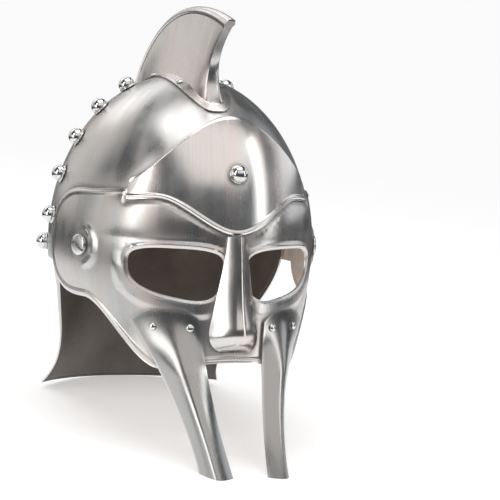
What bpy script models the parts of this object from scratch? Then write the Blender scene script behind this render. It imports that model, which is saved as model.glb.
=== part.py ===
"""A crested, open-faced gladiator helmet in steel sheet, standing on its cheek guards and neck guard.

Metres, +Z up, front towards -Y, wearer's left towards +X. Every piece is shaped in the worn frame, whose
origin is the skull's centre at the height of the ear screws. The rest empty then tips the whole helmet
back until the neck guard's rim meets the surface that the cheek guards stand on.
"""

import math

import bmesh
import bpy
import numpy as np
from mathutils import Matrix, Vector

# Skull
SKULL_HALF_WIDTH = 0.108
SKULL_HALF_LENGTH = 0.125
SKULL_HEIGHT = 0.140
SKULL_REAR_DROP = 0.018
SKULL_BROW_RISE = 0.032
SHEET = 0.0015
FIT_GAP = 0.0005
SEAT_GAP = 0.0003
JAW_BLEND = 0.07
CHIN_LEAD = 0.018
FACE_DROP = 0.094

# Neck guard
NECK_TUCK = 0.030
NECK_GAP = 0.0006
RIM_DROP = 0.134
WAIST_IN = 0.0135
WAIST_PEAK = 27 / 4
FLARE_OUT = 0.0165
NECK_SPAN = math.radians(82.5)
RIM_SPAN = math.radians(44)

# Face guard
FACE_TOP = 0.049
MOUTH_RISE = 0.007
LOBE_TOP = 0.046
LOBE_BOTTOM = 0.042
LOBE_START = math.radians(69)
LOBE_END = math.radians(94)
LOBE_SQUARENESS = 2.6
SKULL_EDGE_TURN = math.radians(40)
CHEEK_START = math.radians(33)
EAR_ANGLE = math.radians(70)

# Eye openings: heights from the ear screws, and turns round the head from the midline
EYE_INNER_TURN = math.radians(5.5)
EYE_OUTER_TURN = math.radians(46)
EYE_PLUG_REACH = 0.014
EYE_TOP = 0.004
EYE_ABOVE = 0.013
EYE_BELOW = 0.033
EYE_OUTER_SHARE = 0.60
EYE_SQUARENESS = 3.0

# Brow plate
BROW_SPAN = math.radians(48)
BROW_ROOT = 0.015
BROW_ARCH = 0.042
BROW_ARCH_PLACE = 0.72
BROW_END_LOW = 0.040
BROW_END_TOP = 0.053
BROW_APEX = 0.099
BROW_STAND_OFF = 0.016
BROW_RETURN_RISE = 0.004
BROW_STUD_PLACE = 0.46
BROW_TOP_POWER = 1.25
BROW_LEAN_POWER = 1.3

# Nasal
NASAL_LENGTH = 0.093
NASAL_TOP_HALF_WIDTH = 0.008
NASAL_HALF_WIDTH = 0.0235
NASAL_TOP_RIDGE = 0.006
NASAL_RIDGE = 0.020
NASAL_END = 0.020
NASAL_END_WIDTH_SHARE = 0.45
NASAL_SPREAD_POWER = 1.2
NASAL_SOFTNESS = 0.2

# Cheek guards
CHEEK_SHEET = 0.002
CHEEK_TOP = 0.046
CHEEK_TOP_ROUND = 0.009
CHEEK_TIP = 0.180
CHEEK_FRONT = 0.027
CHEEK_REAR = 0.072
CHEEK_TIP_FRONT = 0.013
CHEEK_TIP_REAR = 0.035
CHEEK_RIB = 0.009
CHEEK_RIB_START = 0.4
CHEEK_REAR_POWER = 1.7
CHEEK_SOFTNESS = 0.3
CHEEK_OVERRUN = 1.05
CHEEK_RIVET_PLACES = ((-0.6, 0.09), (0.6, 0.09))

# Crest
CREST_SHEET = 0.0012
CREST_HEIGHT = 0.074
CREST_BODY_HEIGHT = 0.052
CREST_REAR_HEIGHT = 0.010
CREST_REAR_ANGLE = math.radians(60)
CREST_FRONT_ANGLE = math.radians(33)
CREST_TIP_ANGLE = math.radians(29)
CREST_FRONT_HOLLOW = 0.018
CREST_HALF_WIDTH = 0.014
CREST_RIM_HALF_WIDTH = 0.0035
CREST_RIM_CROWN = 0.0015
CREST_FLANGE = 0.009
CREST_TIP_POWER = 4
CREST_TAPER_POWER = 1.6
CREST_HOLLOW_POWER = 6
CREST_BODY_ROUND = 4
CREST_FLANGE_ROUND = 6
CREST_OVERHANG_POWER = 9
CREST_FOOT_SHARE = 0.125
CREST_ROWS = (1.0, 0.8, 0.55, 0.3, 0.12, 0.0, -1.0)
CREST_RIVET_SHARES = (0.25, 0.53, 0.81)

# Studs, rivets and ear screws
STUD_RADIUS = 0.0075
STUD_HEIGHT = 0.0095
STUD_COLLAR = 0.0022
RIVET_RADIUS = 0.0032
RIVET_HEIGHT = 0.0020
RIVET_COLLAR = 0.0006
CROWN_STUDS = 5
CROWN_STUD_SET_BACK = 0.018
CROWN_STUD_FIRST = math.radians(24)
CROWN_STUD_LAST = math.radians(82)
SEAM_STUDS = 7
SEAM_STUD_FIRST = math.radians(113)
SEAM_STUD_RISE = -0.006
SCREW_RADIUS = 0.0085
SCREW_HEIGHT = 0.0040
SCREW_SLOT_WIDTH = 0.0020
SCREW_SLOT_DEPTH = 0.0018
SCREW_SLOT_TURN = math.radians(60)

# Facets
SKULL_COLUMNS = 48
SKULL_ROWS = 10
STUD_SIDES = 12
RIVET_SIDES = 10

STEEL = {"color": (0.62, 0.61, 0.60, 1.0), "roughness": 0.22, "metallic": 1.0}
DARK_STEEL = {"color": (0.50, 0.49, 0.47, 1.0), "roughness": 0.28, "metallic": 1.0}
BRIGHT_STEEL = {"color": (0.72, 0.72, 0.71, 1.0), "roughness": 0.12, "metallic": 1.0}

FACE_OUT = FIT_GAP + SHEET
MOUNTED = FACE_OUT + FIT_GAP


def clear_scene():
    for obj in list(bpy.data.objects):
        bpy.data.objects.remove(obj, do_unlink=True)


def new_collection(name):
    collection = bpy.data.collections.new(name)
    bpy.context.scene.collection.children.link(collection)
    return collection


def make_material(name, look):
    material = bpy.data.materials.new(name)
    material.use_nodes = True
    shader = material.node_tree.nodes["Principled BSDF"]
    shader.inputs["Base Color"].default_value = look["color"]
    shader.inputs["Roughness"].default_value = look["roughness"]
    shader.inputs["Metallic"].default_value = look["metallic"]
    return material


def smooth(x):
    """Ease from 0 to 1 with level ends."""
    x = np.clip(x, 0.0, 1.0)
    return x * x * (3 - 2 * x)


def mix(a, b, share):
    return a + (b - a) * share


def wall_share(z):
    """Width of the helmet's wall at a height, as a share of the skull's: an ellipsoid above the ear
    screws, and below them a wall that draws in with the same curvature and then runs nearly straight."""
    z = np.asarray(z, float)
    dome = np.sqrt(np.clip(1 - (z / SKULL_HEIGHT) ** 2, 0.0, 1.0))
    jaw = 1 - (z**2 / (2 * SKULL_HEIGHT**2)) / (1 + (z / JAW_BLEND) ** 2)
    return np.where(z > 0, dome, jaw)


def wall(u, z):
    """Point of the helmet's outer wall at angle u from the front and height z. The chin leads forward."""
    u, z = np.broadcast_arrays(np.asarray(u, float), np.asarray(z, float))
    share = wall_share(z)
    lead = CHIN_LEAD * (np.minimum(z, 0) / FACE_DROP) ** 2 * np.maximum(np.cos(u), 0) ** 2
    x = SKULL_HALF_WIDTH * share * np.sin(u)
    y = -SKULL_HALF_LENGTH * share * np.cos(u) - lead
    return np.stack([x, y, z], -1)


def wall_normal(u, z):
    """Outward unit normal of the wall, from its two slopes."""
    step = 1e-5
    across = wall(u + step, z) - wall(u - step, z)
    down = wall(u, z - step) - wall(u, z + step)
    normal = np.cross(down, across)
    return normal / np.linalg.norm(normal, axis=-1, keepdims=True)


def off_wall(u, z, out):
    return wall(u, z) + wall_normal(u, z) * np.asarray(out, float)[..., None]


def dome_at(x, y, out):
    """Point on the skull's dome above the plan position x, y, moved out along its normal."""
    share = (x / SKULL_HALF_WIDTH) ** 2 + (y / SKULL_HALF_LENGTH) ** 2
    z = SKULL_HEIGHT * np.sqrt(np.clip(1 - share, 1e-6, 1.0))
    normal = np.stack([x / SKULL_HALF_WIDTH**2, y / SKULL_HALF_LENGTH**2, z / SKULL_HEIGHT**2], -1)
    normal /= np.linalg.norm(normal, axis=-1, keepdims=True)
    return np.stack([x, y, z], -1) + normal * np.asarray(out, float)[..., None]


def sheet_object(name, points, thickness, material, home, rest, loop=False):
    """A sheet-metal piece: rows of points down and columns of points round, given a wall inwards."""
    rows, columns = points.shape[:2]
    grid = bmesh.new()
    verts = [[grid.verts.new(points[r, c]) for c in range(columns)] for r in range(rows)]
    for r in range(rows - 1):
        for c in range(columns if loop else columns - 1):
            after = (c + 1) % columns
            grid.faces.new((verts[r][c], verts[r + 1][c], verts[r + 1][after], verts[r][after]))
    bmesh.ops.remove_doubles(grid, verts=grid.verts, dist=1e-6)
    mesh = bpy.data.meshes.new(name)
    grid.to_mesh(mesh)
    grid.free()
    obj = bpy.data.objects.new(name, mesh)
    mesh.materials.append(material)
    mesh.shade_smooth()
    home.objects.link(obj)
    obj.parent = rest
    solid = obj.modifiers.new("wall", "SOLIDIFY")
    solid.thickness = thickness
    solid.offset = -1
    solid.use_even_offset = True
    return obj


def cut(obj, cutter):
    boolean = obj.modifiers.new("cut", "BOOLEAN")
    boolean.operation = "DIFFERENCE"
    boolean.object = cutter


def roof(p, softness):
    """Height of a rounded ridge across a strip: 1 on its centre line and 0 at its edges."""
    rise = np.sqrt(p**2 + softness**2) - softness
    return 1 - rise / (math.sqrt(1 + softness**2) - softness)


def unit(vector):
    return vector / np.linalg.norm(vector)


def normal_at(point, across, down, step=0.01):
    """Outward normal of a surface given as point(across, down), with across running to wearer's left."""
    along_across = point(across + step, down) - point(across - step, down)
    along_down = point(across, down + step) - point(across, down - step)
    return unit(np.cross(along_down, along_across))


def skull_edge(u):
    """Height of the skull's lower edge: high over the face, low behind the ears."""
    from_front = np.abs(np.arctan2(np.sin(u), np.cos(u)))
    behind = smooth((from_front - SKULL_EDGE_TURN) / (LOBE_START - SKULL_EDGE_TURN))
    return mix(SKULL_BROW_RISE, -SKULL_REAR_DROP, behind)


def skull(steel, home, rest):
    u = np.linspace(0, 2 * math.pi, SKULL_COLUMNS, endpoint=False)
    edge = skull_edge(u)
    dome_turn = np.arccos(np.clip(edge / SKULL_HEIGHT, 0, 1)) + np.maximum(-edge, 0) / SKULL_HEIGHT
    turn = np.linspace(0, 1, SKULL_ROWS + 1)[:, None] * dome_turn[None, :]
    z = np.where(turn < math.pi / 2, SKULL_HEIGHT * np.cos(turn), -(turn - math.pi / 2) * SKULL_HEIGHT)
    points = wall(np.broadcast_to(u, z.shape), z)
    return sheet_object("skull", points, SHEET, steel, home, rest, loop=True)


def neck_profile(z):
    """Distance of the neck guard from an upright wall: drawn in at its waist, thrown out at its rim."""
    drop = np.clip(-z / RIM_DROP, 0, 1)
    return FLARE_OUT * drop**3 - WAIST_IN * WAIST_PEAK * drop**2 * (1 - drop)


def neck_point(across, z):
    """Point of the neck guard's outer side, from -1 at one side edge to 1 at the other."""
    narrowing = smooth((-z - SKULL_REAR_DROP) / (RIM_DROP - SKULL_REAR_DROP))
    u = math.pi + across * mix(NECK_SPAN, RIM_SPAN, narrowing)
    plan = np.array([1, 1, 0])
    level = wall(u, np.zeros_like(z)) * plan
    outward = level / np.linalg.norm(level, axis=-1, keepdims=True)
    tucked = off_wall(u, np.maximum(z, -SKULL_REAR_DROP), np.full(z.shape, -(SHEET + NECK_GAP)))
    drawn = tucked * plan + outward * neck_profile(z)[..., None]
    return np.stack([drawn[..., 0], drawn[..., 1], z], -1)


def neck_guard(steel, home, rest):
    tuck_rows = np.linspace(NECK_TUCK - SKULL_REAR_DROP, -SKULL_REAR_DROP, 3)
    free_rows = np.linspace(-SKULL_REAR_DROP, -RIM_DROP, 9)[1:]
    columns = round(2 * NECK_SPAN / (2 * math.pi / SKULL_COLUMNS))
    across = np.linspace(-1, 1, columns + 1)
    z, across = np.meshgrid(np.concatenate([tuck_rows, free_rows]), across, indexing="ij")
    return sheet_object("neck_guard", neck_point(across, z), SHEET, steel, home, rest)


def lobe_round(u):
    """Share of the ear lobe's height that is left at an angle, falling to 0 at its rear end."""
    past = np.clip((u - LOBE_START) / (LOBE_END - LOBE_START), 0, 1)
    return (1 - past**LOBE_SQUARENESS) ** (1 / LOBE_SQUARENESS)


def face_top(u):
    """Upper edge of the face guard: under the brow plate, then up the temple to the ear lobe."""
    side = mix(FACE_TOP, LOBE_TOP, smooth((u - BROW_SPAN) / (LOBE_START - BROW_SPAN)))
    return side * lobe_round(u)


def face_bottom(u):
    """Lower edge of the face guard: arched at the mouth, then sweeping up to the ear lobe."""
    mouth = FACE_DROP - MOUTH_RISE * np.cos(np.clip(u / CHEEK_START, 0, 1) * math.pi / 2)
    side = mix(mouth, LOBE_BOTTOM, smooth((u - CHEEK_START) / (LOBE_START - CHEEK_START)))
    return -side * lobe_round(u)


def face_columns():
    """Column angles from ear to ear: even over the face, and closing up towards each lobe's end."""
    even = np.linspace(0, LOBE_START, 18)
    lobe = LOBE_START + (LOBE_END - LOBE_START) * np.sin(np.linspace(0, math.pi / 2, 8))[1:]
    half = np.concatenate([even, lobe])
    return np.concatenate([-half[:0:-1], half])


def face_guard(steel, home, rest, cutters):
    u = face_columns()
    rows = np.linspace(0, 1, 11)
    z = mix(face_top(np.abs(u))[None, :], face_bottom(np.abs(u))[None, :], rows[:, None])
    points = off_wall(np.broadcast_to(u, z.shape), z, np.full(z.shape, FACE_OUT))
    obj = sheet_object("face_guard", points, SHEET, steel, home, rest)
    for side in (-1, 1):
        cut(obj, eye_cutter(side, cutters, rest))


def eye_outline(side, count=26):
    """Angles and heights round one eye opening: a squared oval that is shallower at its outer end."""
    turn = np.linspace(0, 2 * math.pi, count, endpoint=False)
    across = np.sign(np.cos(turn)) * np.abs(np.cos(turn)) ** (2 / EYE_SQUARENESS)
    up = np.sign(np.sin(turn)) * np.abs(np.sin(turn)) ** (2 / EYE_SQUARENESS)
    depth = EYE_BELOW * mix(1, EYE_OUTER_SHARE, (1 + across) / 2)
    z = np.where(up > 0, EYE_ABOVE, depth) * up + EYE_TOP - EYE_ABOVE
    return side * mix(EYE_INNER_TURN, EYE_OUTER_TURN, (1 + across) / 2), z


def eye_cutter(side, cutters, rest):
    """A closed plug through the sheet, with its sides square to the face."""
    u, z = eye_outline(side)
    inner = off_wall(u, z, np.full(z.shape, FACE_OUT - EYE_PLUG_REACH))
    outer = off_wall(u, z, np.full(z.shape, FACE_OUT + EYE_PLUG_REACH))
    body = bmesh.new()
    rings = [[body.verts.new(p) for p in ring] for ring in (inner, outer)]
    for i in range(len(u)):
        after = (i + 1) % len(u)
        body.faces.new((rings[0][i], rings[0][after], rings[1][after], rings[1][i]))
    body.faces.new(rings[0])
    body.faces.new(rings[1])
    bmesh.ops.recalc_face_normals(body, faces=body.faces)
    name = "eye_cutter_left" if side > 0 else "eye_cutter_right"
    return cutter_object(name, body, cutters, rest)


def cutter_object(name, body, cutters, parent=None):
    mesh = bpy.data.meshes.new(name)
    body.to_mesh(mesh)
    body.free()
    obj = bpy.data.objects.new(name, mesh)
    cutters.objects.link(obj)
    obj.parent = parent
    obj.hide_render = True
    obj.display_type = "WIRE"
    return obj


def brow_edges(p):
    """Lower and upper edge heights of the brow plate at p, which is 0 on the midline and 1 at an end."""
    p = np.abs(p)
    arch = mix(BROW_ROOT, BROW_ARCH, smooth(p / BROW_ARCH_PLACE))
    lower = arch + (BROW_END_LOW - BROW_ARCH) * smooth((p - BROW_ARCH_PLACE) / (1 - BROW_ARCH_PLACE))
    rise = (BROW_APEX - BROW_END_TOP) * np.cos(np.clip(p, 0, 1) * math.pi / 2) ** BROW_TOP_POWER
    return lower, BROW_END_TOP + rise


def brow_point(p, q):
    """Point of the brow plate's outer side, across it from -1 to 1 and down it from 0 to 1."""
    p, q = np.broadcast_arrays(np.asarray(p, float), np.asarray(q, float))
    lower, upper = brow_edges(p)
    across = np.cos(np.clip(np.abs(p), 0, 1) * math.pi / 2)
    lean = BROW_STAND_OFF * across * (1 - q) ** BROW_LEAN_POWER
    return off_wall(p * BROW_SPAN, mix(upper, lower, q), MOUNTED + SHEET + lean)


def brow_plate(steel, home, rest):
    p = np.linspace(-1, 1, 25)
    front = brow_point(p[None, :], np.linspace(0, 1, 9)[:, None])
    seat_z = brow_edges(p)[1] + BROW_RETURN_RISE
    seat = off_wall(p * BROW_SPAN, seat_z, np.full(p.shape, FACE_OUT))
    points = np.concatenate([seat[None], mix(seat, front[0], 0.5)[None], front])
    sheet_object("brow_plate", points, SHEET, steel, home, rest)


def nasal_point(p, q):
    """Point of the nasal's outer side: it widens and rises downwards and is closed below by a round end."""
    spread = q**NASAL_SPREAD_POWER
    from_end = np.clip((1 - q) * NASAL_LENGTH / NASAL_END, 0, 1)
    end = np.sqrt(1 - (1 - from_end) ** 2)
    half_width = mix(NASAL_TOP_HALF_WIDTH, NASAL_HALF_WIDTH, spread) * mix(NASAL_END_WIDTH_SHARE, 1, end)
    ridge = mix(NASAL_TOP_RIDGE, NASAL_RIDGE, spread) * end * roof(p, NASAL_SOFTNESS)
    z = BROW_ROOT - SEAT_GAP - q * NASAL_LENGTH
    return off_wall(half_width * p / (SKULL_HALF_WIDTH * wall_share(z)), z, MOUNTED + SHEET + ridge)


def nasal(steel, home, rest):
    end_start = 1 - NASAL_END / NASAL_LENGTH
    around_end = mix(end_start, 1, np.sin(np.linspace(0, math.pi / 2, 6)))
    q = np.concatenate([np.linspace(0, end_start, 7), around_end[1:]])
    p, q = np.meshgrid(np.linspace(-1, 1, 11), q)
    sheet_object("nasal", nasal_point(p, q), SHEET, steel, home, rest)


def cheek_point(side, p, q):
    """Point of a cheek guard's outer side, across it from -1 to 1 and down it from 0 to its tip at 1."""
    q = np.asarray(q, float)
    front = mix(CHEEK_FRONT, CHEEK_TIP_FRONT, q)
    rear = mix(CHEEK_TIP_REAR, CHEEK_REAR, np.clip(1 - q, 0, 1) ** CHEEK_REAR_POWER)
    x = mix(front, rear, (1 + side * p) / 2)
    z = -mix(CHEEK_TOP + CHEEK_TOP_ROUND * np.abs(p) ** 3, CHEEK_TIP, q)
    u = side * np.arcsin(x / (SKULL_HALF_WIDTH * wall_share(z)))
    rib = CHEEK_RIB * smooth(q / CHEEK_RIB_START) * roof(p, CHEEK_SOFTNESS)
    return off_wall(u, z, MOUNTED + CHEEK_SHEET + rib)


def cheek_guard(side, steel, home, rest, floor):
    p, q = np.meshgrid(np.linspace(-1, 1, 9), np.linspace(0, CHEEK_OVERRUN, 12))
    name = "cheek_guard_left" if side > 0 else "cheek_guard_right"
    obj = sheet_object(name, cheek_point(side, p, q), CHEEK_SHEET, steel, home, rest)
    cut(obj, floor)


def crest_side(share, rise):
    """Point of the crest's left side, from share 0 at its rear end to 1 at its front, and from rise -1 at
    its flange's edge, over 0 where its wall starts, to 1 at its rim."""
    share, rise = np.broadcast_arrays(np.asarray(share, float), np.asarray(rise, float))
    body = np.clip(rise, 0, 1)
    foot = np.clip(-rise, 0, 1)
    from_middle = 2 * share - 1
    overhang = CREST_FLANGE / SKULL_HEIGHT * foot * from_middle**CREST_OVERHANG_POWER
    base_turn = mix(-CREST_REAR_ANGLE, CREST_FRONT_ANGLE, share) + overhang
    rim_turn = mix(-CREST_REAR_ANGLE, CREST_TIP_ANGLE, share)
    height = mix(CREST_REAR_HEIGHT, CREST_BODY_HEIGHT, np.sqrt(np.sin(share * math.pi / 2)))
    height = height + (CREST_HEIGHT - CREST_BODY_HEIGHT) * share**CREST_TIP_POWER
    swell = np.sqrt(1 - from_middle**CREST_BODY_ROUND) * (1 - body) ** CREST_TAPER_POWER
    half = mix(CREST_RIM_HALF_WIDTH, CREST_HALF_WIDTH, swell)
    flange = CREST_FLANGE * foot * np.sqrt(1 - from_middle**CREST_FLANGE_ROUND)
    base = dome_at(half + flange, -SKULL_HALF_LENGTH * np.sin(base_turn), FIT_GAP + CREST_SHEET)
    hollow = CREST_FRONT_HOLLOW * 4 * body * (1 - body) * share**CREST_HOLLOW_POWER
    y = mix(base[..., 1], -(SKULL_HALF_LENGTH + height) * np.sin(rim_turn), body) + hollow
    z = mix(base[..., 2], (SKULL_HEIGHT + height) * np.cos(rim_turn), body)
    return np.stack([mix(base[..., 0], half, np.clip(body / CREST_FOOT_SHARE, 0, 1)), y, z], -1)


def crest(steel, home, rest):
    """A hollow fin, open below, whose two sides meet along its rim and at both ends."""
    share = np.linspace(1, 0, 18)
    left = crest_side(share[None, :], np.array(CREST_ROWS)[:, None])
    ridge = left[:1] * np.array([0, 1, 1]) + np.array([0, 0, CREST_RIM_CROWN])
    left = np.concatenate([ridge, left])
    right = left[:, ::-1] * np.array([-1, 1, 1])
    sheet_object("crest", np.concatenate([left, right], 1), CREST_SHEET, steel, home, rest, loop=True)


def head_profile(name, radius, height, collar):
    """Half outline of a round head: from its crown down over the dome to a short collar and its base."""
    turns = np.linspace(0, math.pi / 2, 4)
    dome = [(radius * math.sin(t), collar + (height - collar) * math.cos(t)) for t in turns]
    verts = [(x, 0, z) for x, z in [*dome, (radius, 0.0), (0.0, 0.0)]]
    mesh = bpy.data.meshes.new(name)
    mesh.from_pydata(verts, [(i, i + 1) for i in range(len(verts) - 1)], [])
    return mesh


def turned(name, mesh, material, seat, normal, home, rest, sides):
    """A turned head standing on a surface at a point, along the surface's normal."""
    obj = bpy.data.objects.new(name, mesh)
    if not mesh.materials:
        mesh.materials.append(material)
    home.objects.link(obj)
    obj.parent = rest
    obj.location = Vector(seat) + Vector(normal) * SEAT_GAP
    obj.rotation_mode = "QUATERNION"
    obj.rotation_quaternion = Vector(normal).to_track_quat("Z", "Y")
    screw = obj.modifiers.new("turn", "SCREW")
    screw.steps = sides
    screw.render_steps = sides
    screw.use_merge_vertices = True
    screw.merge_threshold = 0.00001
    screw.use_smooth_shade = True
    return obj


def crown_seat(turn, out):
    """Point above the dome on the crown studs' line, at a turn down from the midline to the left."""
    slice_share = math.sqrt(1 - (CROWN_STUD_SET_BACK / SKULL_HALF_LENGTH) ** 2)
    return dome_at(SKULL_HALF_WIDTH * slice_share * math.sin(turn), CROWN_STUD_SET_BACK, out)


def studs(bright, home, rest):
    mesh = head_profile("stud", STUD_RADIUS, STUD_HEIGHT, STUD_COLLAR)

    def stud(name, seat, normal):
        turned(name, mesh, bright, seat, normal, home, rest, STUD_SIDES)

    for side, word in ((-1, "right"), (1, "left")):
        flip = np.array([side, 1, 1])
        for i, turn in enumerate(np.linspace(CROWN_STUD_FIRST, CROWN_STUD_LAST, CROWN_STUDS)):
            normal = unit(crown_seat(turn, STUD_HEIGHT) - crown_seat(turn, 0))
            stud(f"crown_stud_{word}_{i + 1}", crown_seat(turn, 0) * flip, normal * flip)
    for i, u in enumerate(np.linspace(SEAM_STUD_FIRST, 2 * math.pi - SEAM_STUD_FIRST, SEAM_STUDS)):
        stud(f"seam_stud_{i + 1}", wall(u, SEAM_STUD_RISE), wall_normal(u, SEAM_STUD_RISE))
    stud("brow_stud", brow_point(0, BROW_STUD_PLACE), normal_at(brow_point, 0, BROW_STUD_PLACE))


def rivets(bright, home, rest):
    """Small rivets, three on each side of the crest's flange and two at the top of each cheek guard."""
    mesh = head_profile("rivet", RIVET_RADIUS, RIVET_HEIGHT, RIVET_COLLAR)

    def rivet(name, seat, normal):
        turned(name, mesh, bright, seat, normal, home, rest, RIVET_SIDES)

    for side, word in ((-1, "right"), (1, "left")):
        flip = np.array([side, 1, 1])
        for i, share in enumerate(CREST_RIVET_SHARES):
            normal = normal_at(crest_flange_point, -0.5, 1 - share)
            rivet(f"crest_rivet_{word}_{i + 1}", crest_flange_point(-0.5, 1 - share) * flip, normal * flip)
        for i, (p, q) in enumerate(CHEEK_RIVET_PLACES):
            seat = cheek_point(1, p, q)
            normal = normal_at(lambda a, b: cheek_point(1, a, b), p, q)
            rivet(f"cheek_rivet_{word}_{i + 1}", seat * flip, normal * flip)


def crest_flange_point(rise, back):
    return crest_side(1 - back, rise)


def ear_screws(bright, home, rest, cutters):
    mesh = head_profile("ear_screw", SCREW_RADIUS, SCREW_HEIGHT, SCREW_HEIGHT - SCREW_SLOT_DEPTH)
    for side, word in ((-1, "right"), (1, "left")):
        seat = off_wall(side * EAR_ANGLE, 0.0, FACE_OUT)
        normal = wall_normal(side * EAR_ANGLE, 0.0)
        screw = turned(f"ear_screw_{word}", mesh, bright, seat, normal, home, rest, STUD_SIDES)
        cut(screw, slot_cutter(word, screw, cutters))


def slot_cutter(word, screw, cutters):
    body = bmesh.new()
    bmesh.ops.create_cube(body, size=1)
    size = Matrix.Diagonal((3 * SCREW_RADIUS, SCREW_SLOT_WIDTH, 2 * SCREW_SLOT_DEPTH, 1))
    bmesh.ops.transform(body, matrix=Matrix.Translation((0, 0, SCREW_HEIGHT)) @ size, verts=body.verts)
    obj = cutter_object(f"slot_cutter_{word}", body, cutters, screw)
    obj.rotation_euler = (0, 0, SCREW_SLOT_TURN)
    return obj


def floor_cutter(cutters):
    """A block below the surface that the helmet stands on. It trims the cheek guards' tips flat."""
    size = 4 * SKULL_HEIGHT
    body = bmesh.new()
    bmesh.ops.create_cube(body, size=size)
    bmesh.ops.translate(body, vec=(0, 0, -size / 2), verts=body.verts)
    return cutter_object("floor_cutter", body, cutters)


def world_points(obj):
    graph = bpy.context.evaluated_depsgraph_get()
    shape = obj.evaluated_get(graph)
    return np.array([shape.matrix_world @ v.co for v in shape.data.vertices])


def set_down(rest, guard, home):
    """Tips the helmet back until the neck guard's rim is as low as the cheek guards' tips, stands it on
    the surface, and centres it over the origin."""
    tip = cheek_point(1, 0, 1)
    rim = world_points(guard)
    rim = rim[rim[:, 1] > 0]
    tilt = math.atan(np.min((rim[:, 2] - tip[2]) / (rim[:, 1] - tip[1])))
    rest.rotation_euler = (-tilt, 0, 0)
    bpy.context.view_layer.update()
    low = world_points(guard)[:, 2].min()
    rest.location = (0, 0, -low)
    bpy.context.view_layer.update()
    depths = np.concatenate([world_points(obj)[:, 1] for obj in home.objects if obj.type == "MESH"])
    rest.location = (0, -(depths.min() + depths.max()) / 2, -low)
    bpy.context.view_layer.update()


def main():
    clear_scene()
    home = new_collection("gladiator_helmet")
    cutters = new_collection("cutters")
    steel = make_material("polished_steel", STEEL)
    dark = make_material("neck_steel", DARK_STEEL)
    bright = make_material("bright_steel", BRIGHT_STEEL)
    rest = bpy.data.objects.new("rest", None)
    home.objects.link(rest)
    floor = floor_cutter(cutters)
    skull(steel, home, rest)
    guard = neck_guard(dark, home, rest)
    face_guard(steel, home, rest, cutters)
    brow_plate(steel, home, rest)
    nasal(steel, home, rest)
    for side in (-1, 1):
        cheek_guard(side, steel, home, rest, floor)
    crest(steel, home, rest)
    studs(bright, home, rest)
    rivets(bright, home, rest)
    ear_screws(bright, home, rest, cutters)
    bpy.context.view_layer.update()
    set_down(rest, guard, home)


if __name__ == "__main__":
    main()
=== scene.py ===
"""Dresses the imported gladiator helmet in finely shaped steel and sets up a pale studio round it.

Metres, +Z up, front towards -Y, wearer's left towards +X. Every surface is worked out in the worn frame,
whose origin is the skull's centre at the height of the ear screws, and is then tipped back to where the
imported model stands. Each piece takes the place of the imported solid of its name.
"""

import math

import bmesh
import bpy
import numpy as np
from mathutils import Matrix, Vector


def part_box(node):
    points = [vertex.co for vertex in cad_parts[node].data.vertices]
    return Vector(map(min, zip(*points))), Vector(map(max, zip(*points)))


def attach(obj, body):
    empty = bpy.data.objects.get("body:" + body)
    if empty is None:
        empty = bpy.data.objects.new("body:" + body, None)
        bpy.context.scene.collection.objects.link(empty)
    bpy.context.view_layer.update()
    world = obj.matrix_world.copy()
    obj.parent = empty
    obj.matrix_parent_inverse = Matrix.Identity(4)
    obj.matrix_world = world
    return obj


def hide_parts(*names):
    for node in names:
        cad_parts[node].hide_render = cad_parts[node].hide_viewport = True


bl_info = {
    "name": "Gladiator helmet",
    "version": (1, 0, 0),
    "blender": (4, 5, 0),
    "location": "3D View > Sidebar > Helmet",
    "description": "Builds a crested steel gladiator helmet round its packed model",
    "category": "Add Mesh",
}

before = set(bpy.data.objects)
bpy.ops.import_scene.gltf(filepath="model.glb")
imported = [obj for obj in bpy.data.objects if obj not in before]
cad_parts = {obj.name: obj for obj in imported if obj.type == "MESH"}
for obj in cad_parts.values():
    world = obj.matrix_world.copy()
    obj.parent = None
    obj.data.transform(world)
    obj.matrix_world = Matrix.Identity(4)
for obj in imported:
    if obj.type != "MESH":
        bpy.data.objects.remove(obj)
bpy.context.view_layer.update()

# Fits, sheets and rounded edges. A bead further down is its centre line's distance from the edge, and half
# its width; a start and width are where an ease sets in and how far it runs.
FIT_GAP = 0.0005
SEAT_GAP = 0.0003
CREST_SHEET = 0.0012
CHEEK_SHEET = 0.002
EDGE_ROUND = 0.0004
CREST_ROUND = 0.0003
CHEEK_ROUND = 0.0005
SCREW_ROUND = 0.0002
MERGE_DISTANCE = 2e-6

# Wall of the skull and the face
SKULL_REAR_DROP = 0.018
SKULL_BROW_RISE = 0.032
SKULL_EDGE_TURN = math.radians(40)
JAW_BLEND = 0.07
CHIN_LEAD = 0.018
FACE_DROP = 0.094

# Neck guard
NECK_TUCK = 0.030
NECK_GAP = 0.0006
WAIST_IN = 0.0135
WAIST_PEAK = 27 / 4
NECK_SPAN = math.radians(82.5)
RIM_SPAN = math.radians(44)
NECK_BEAD = (0.0032, 0.0022)

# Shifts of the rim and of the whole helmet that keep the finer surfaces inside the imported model's box
RIM_EASE = 0.00045
REAR_EASE = 0.00041

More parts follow.
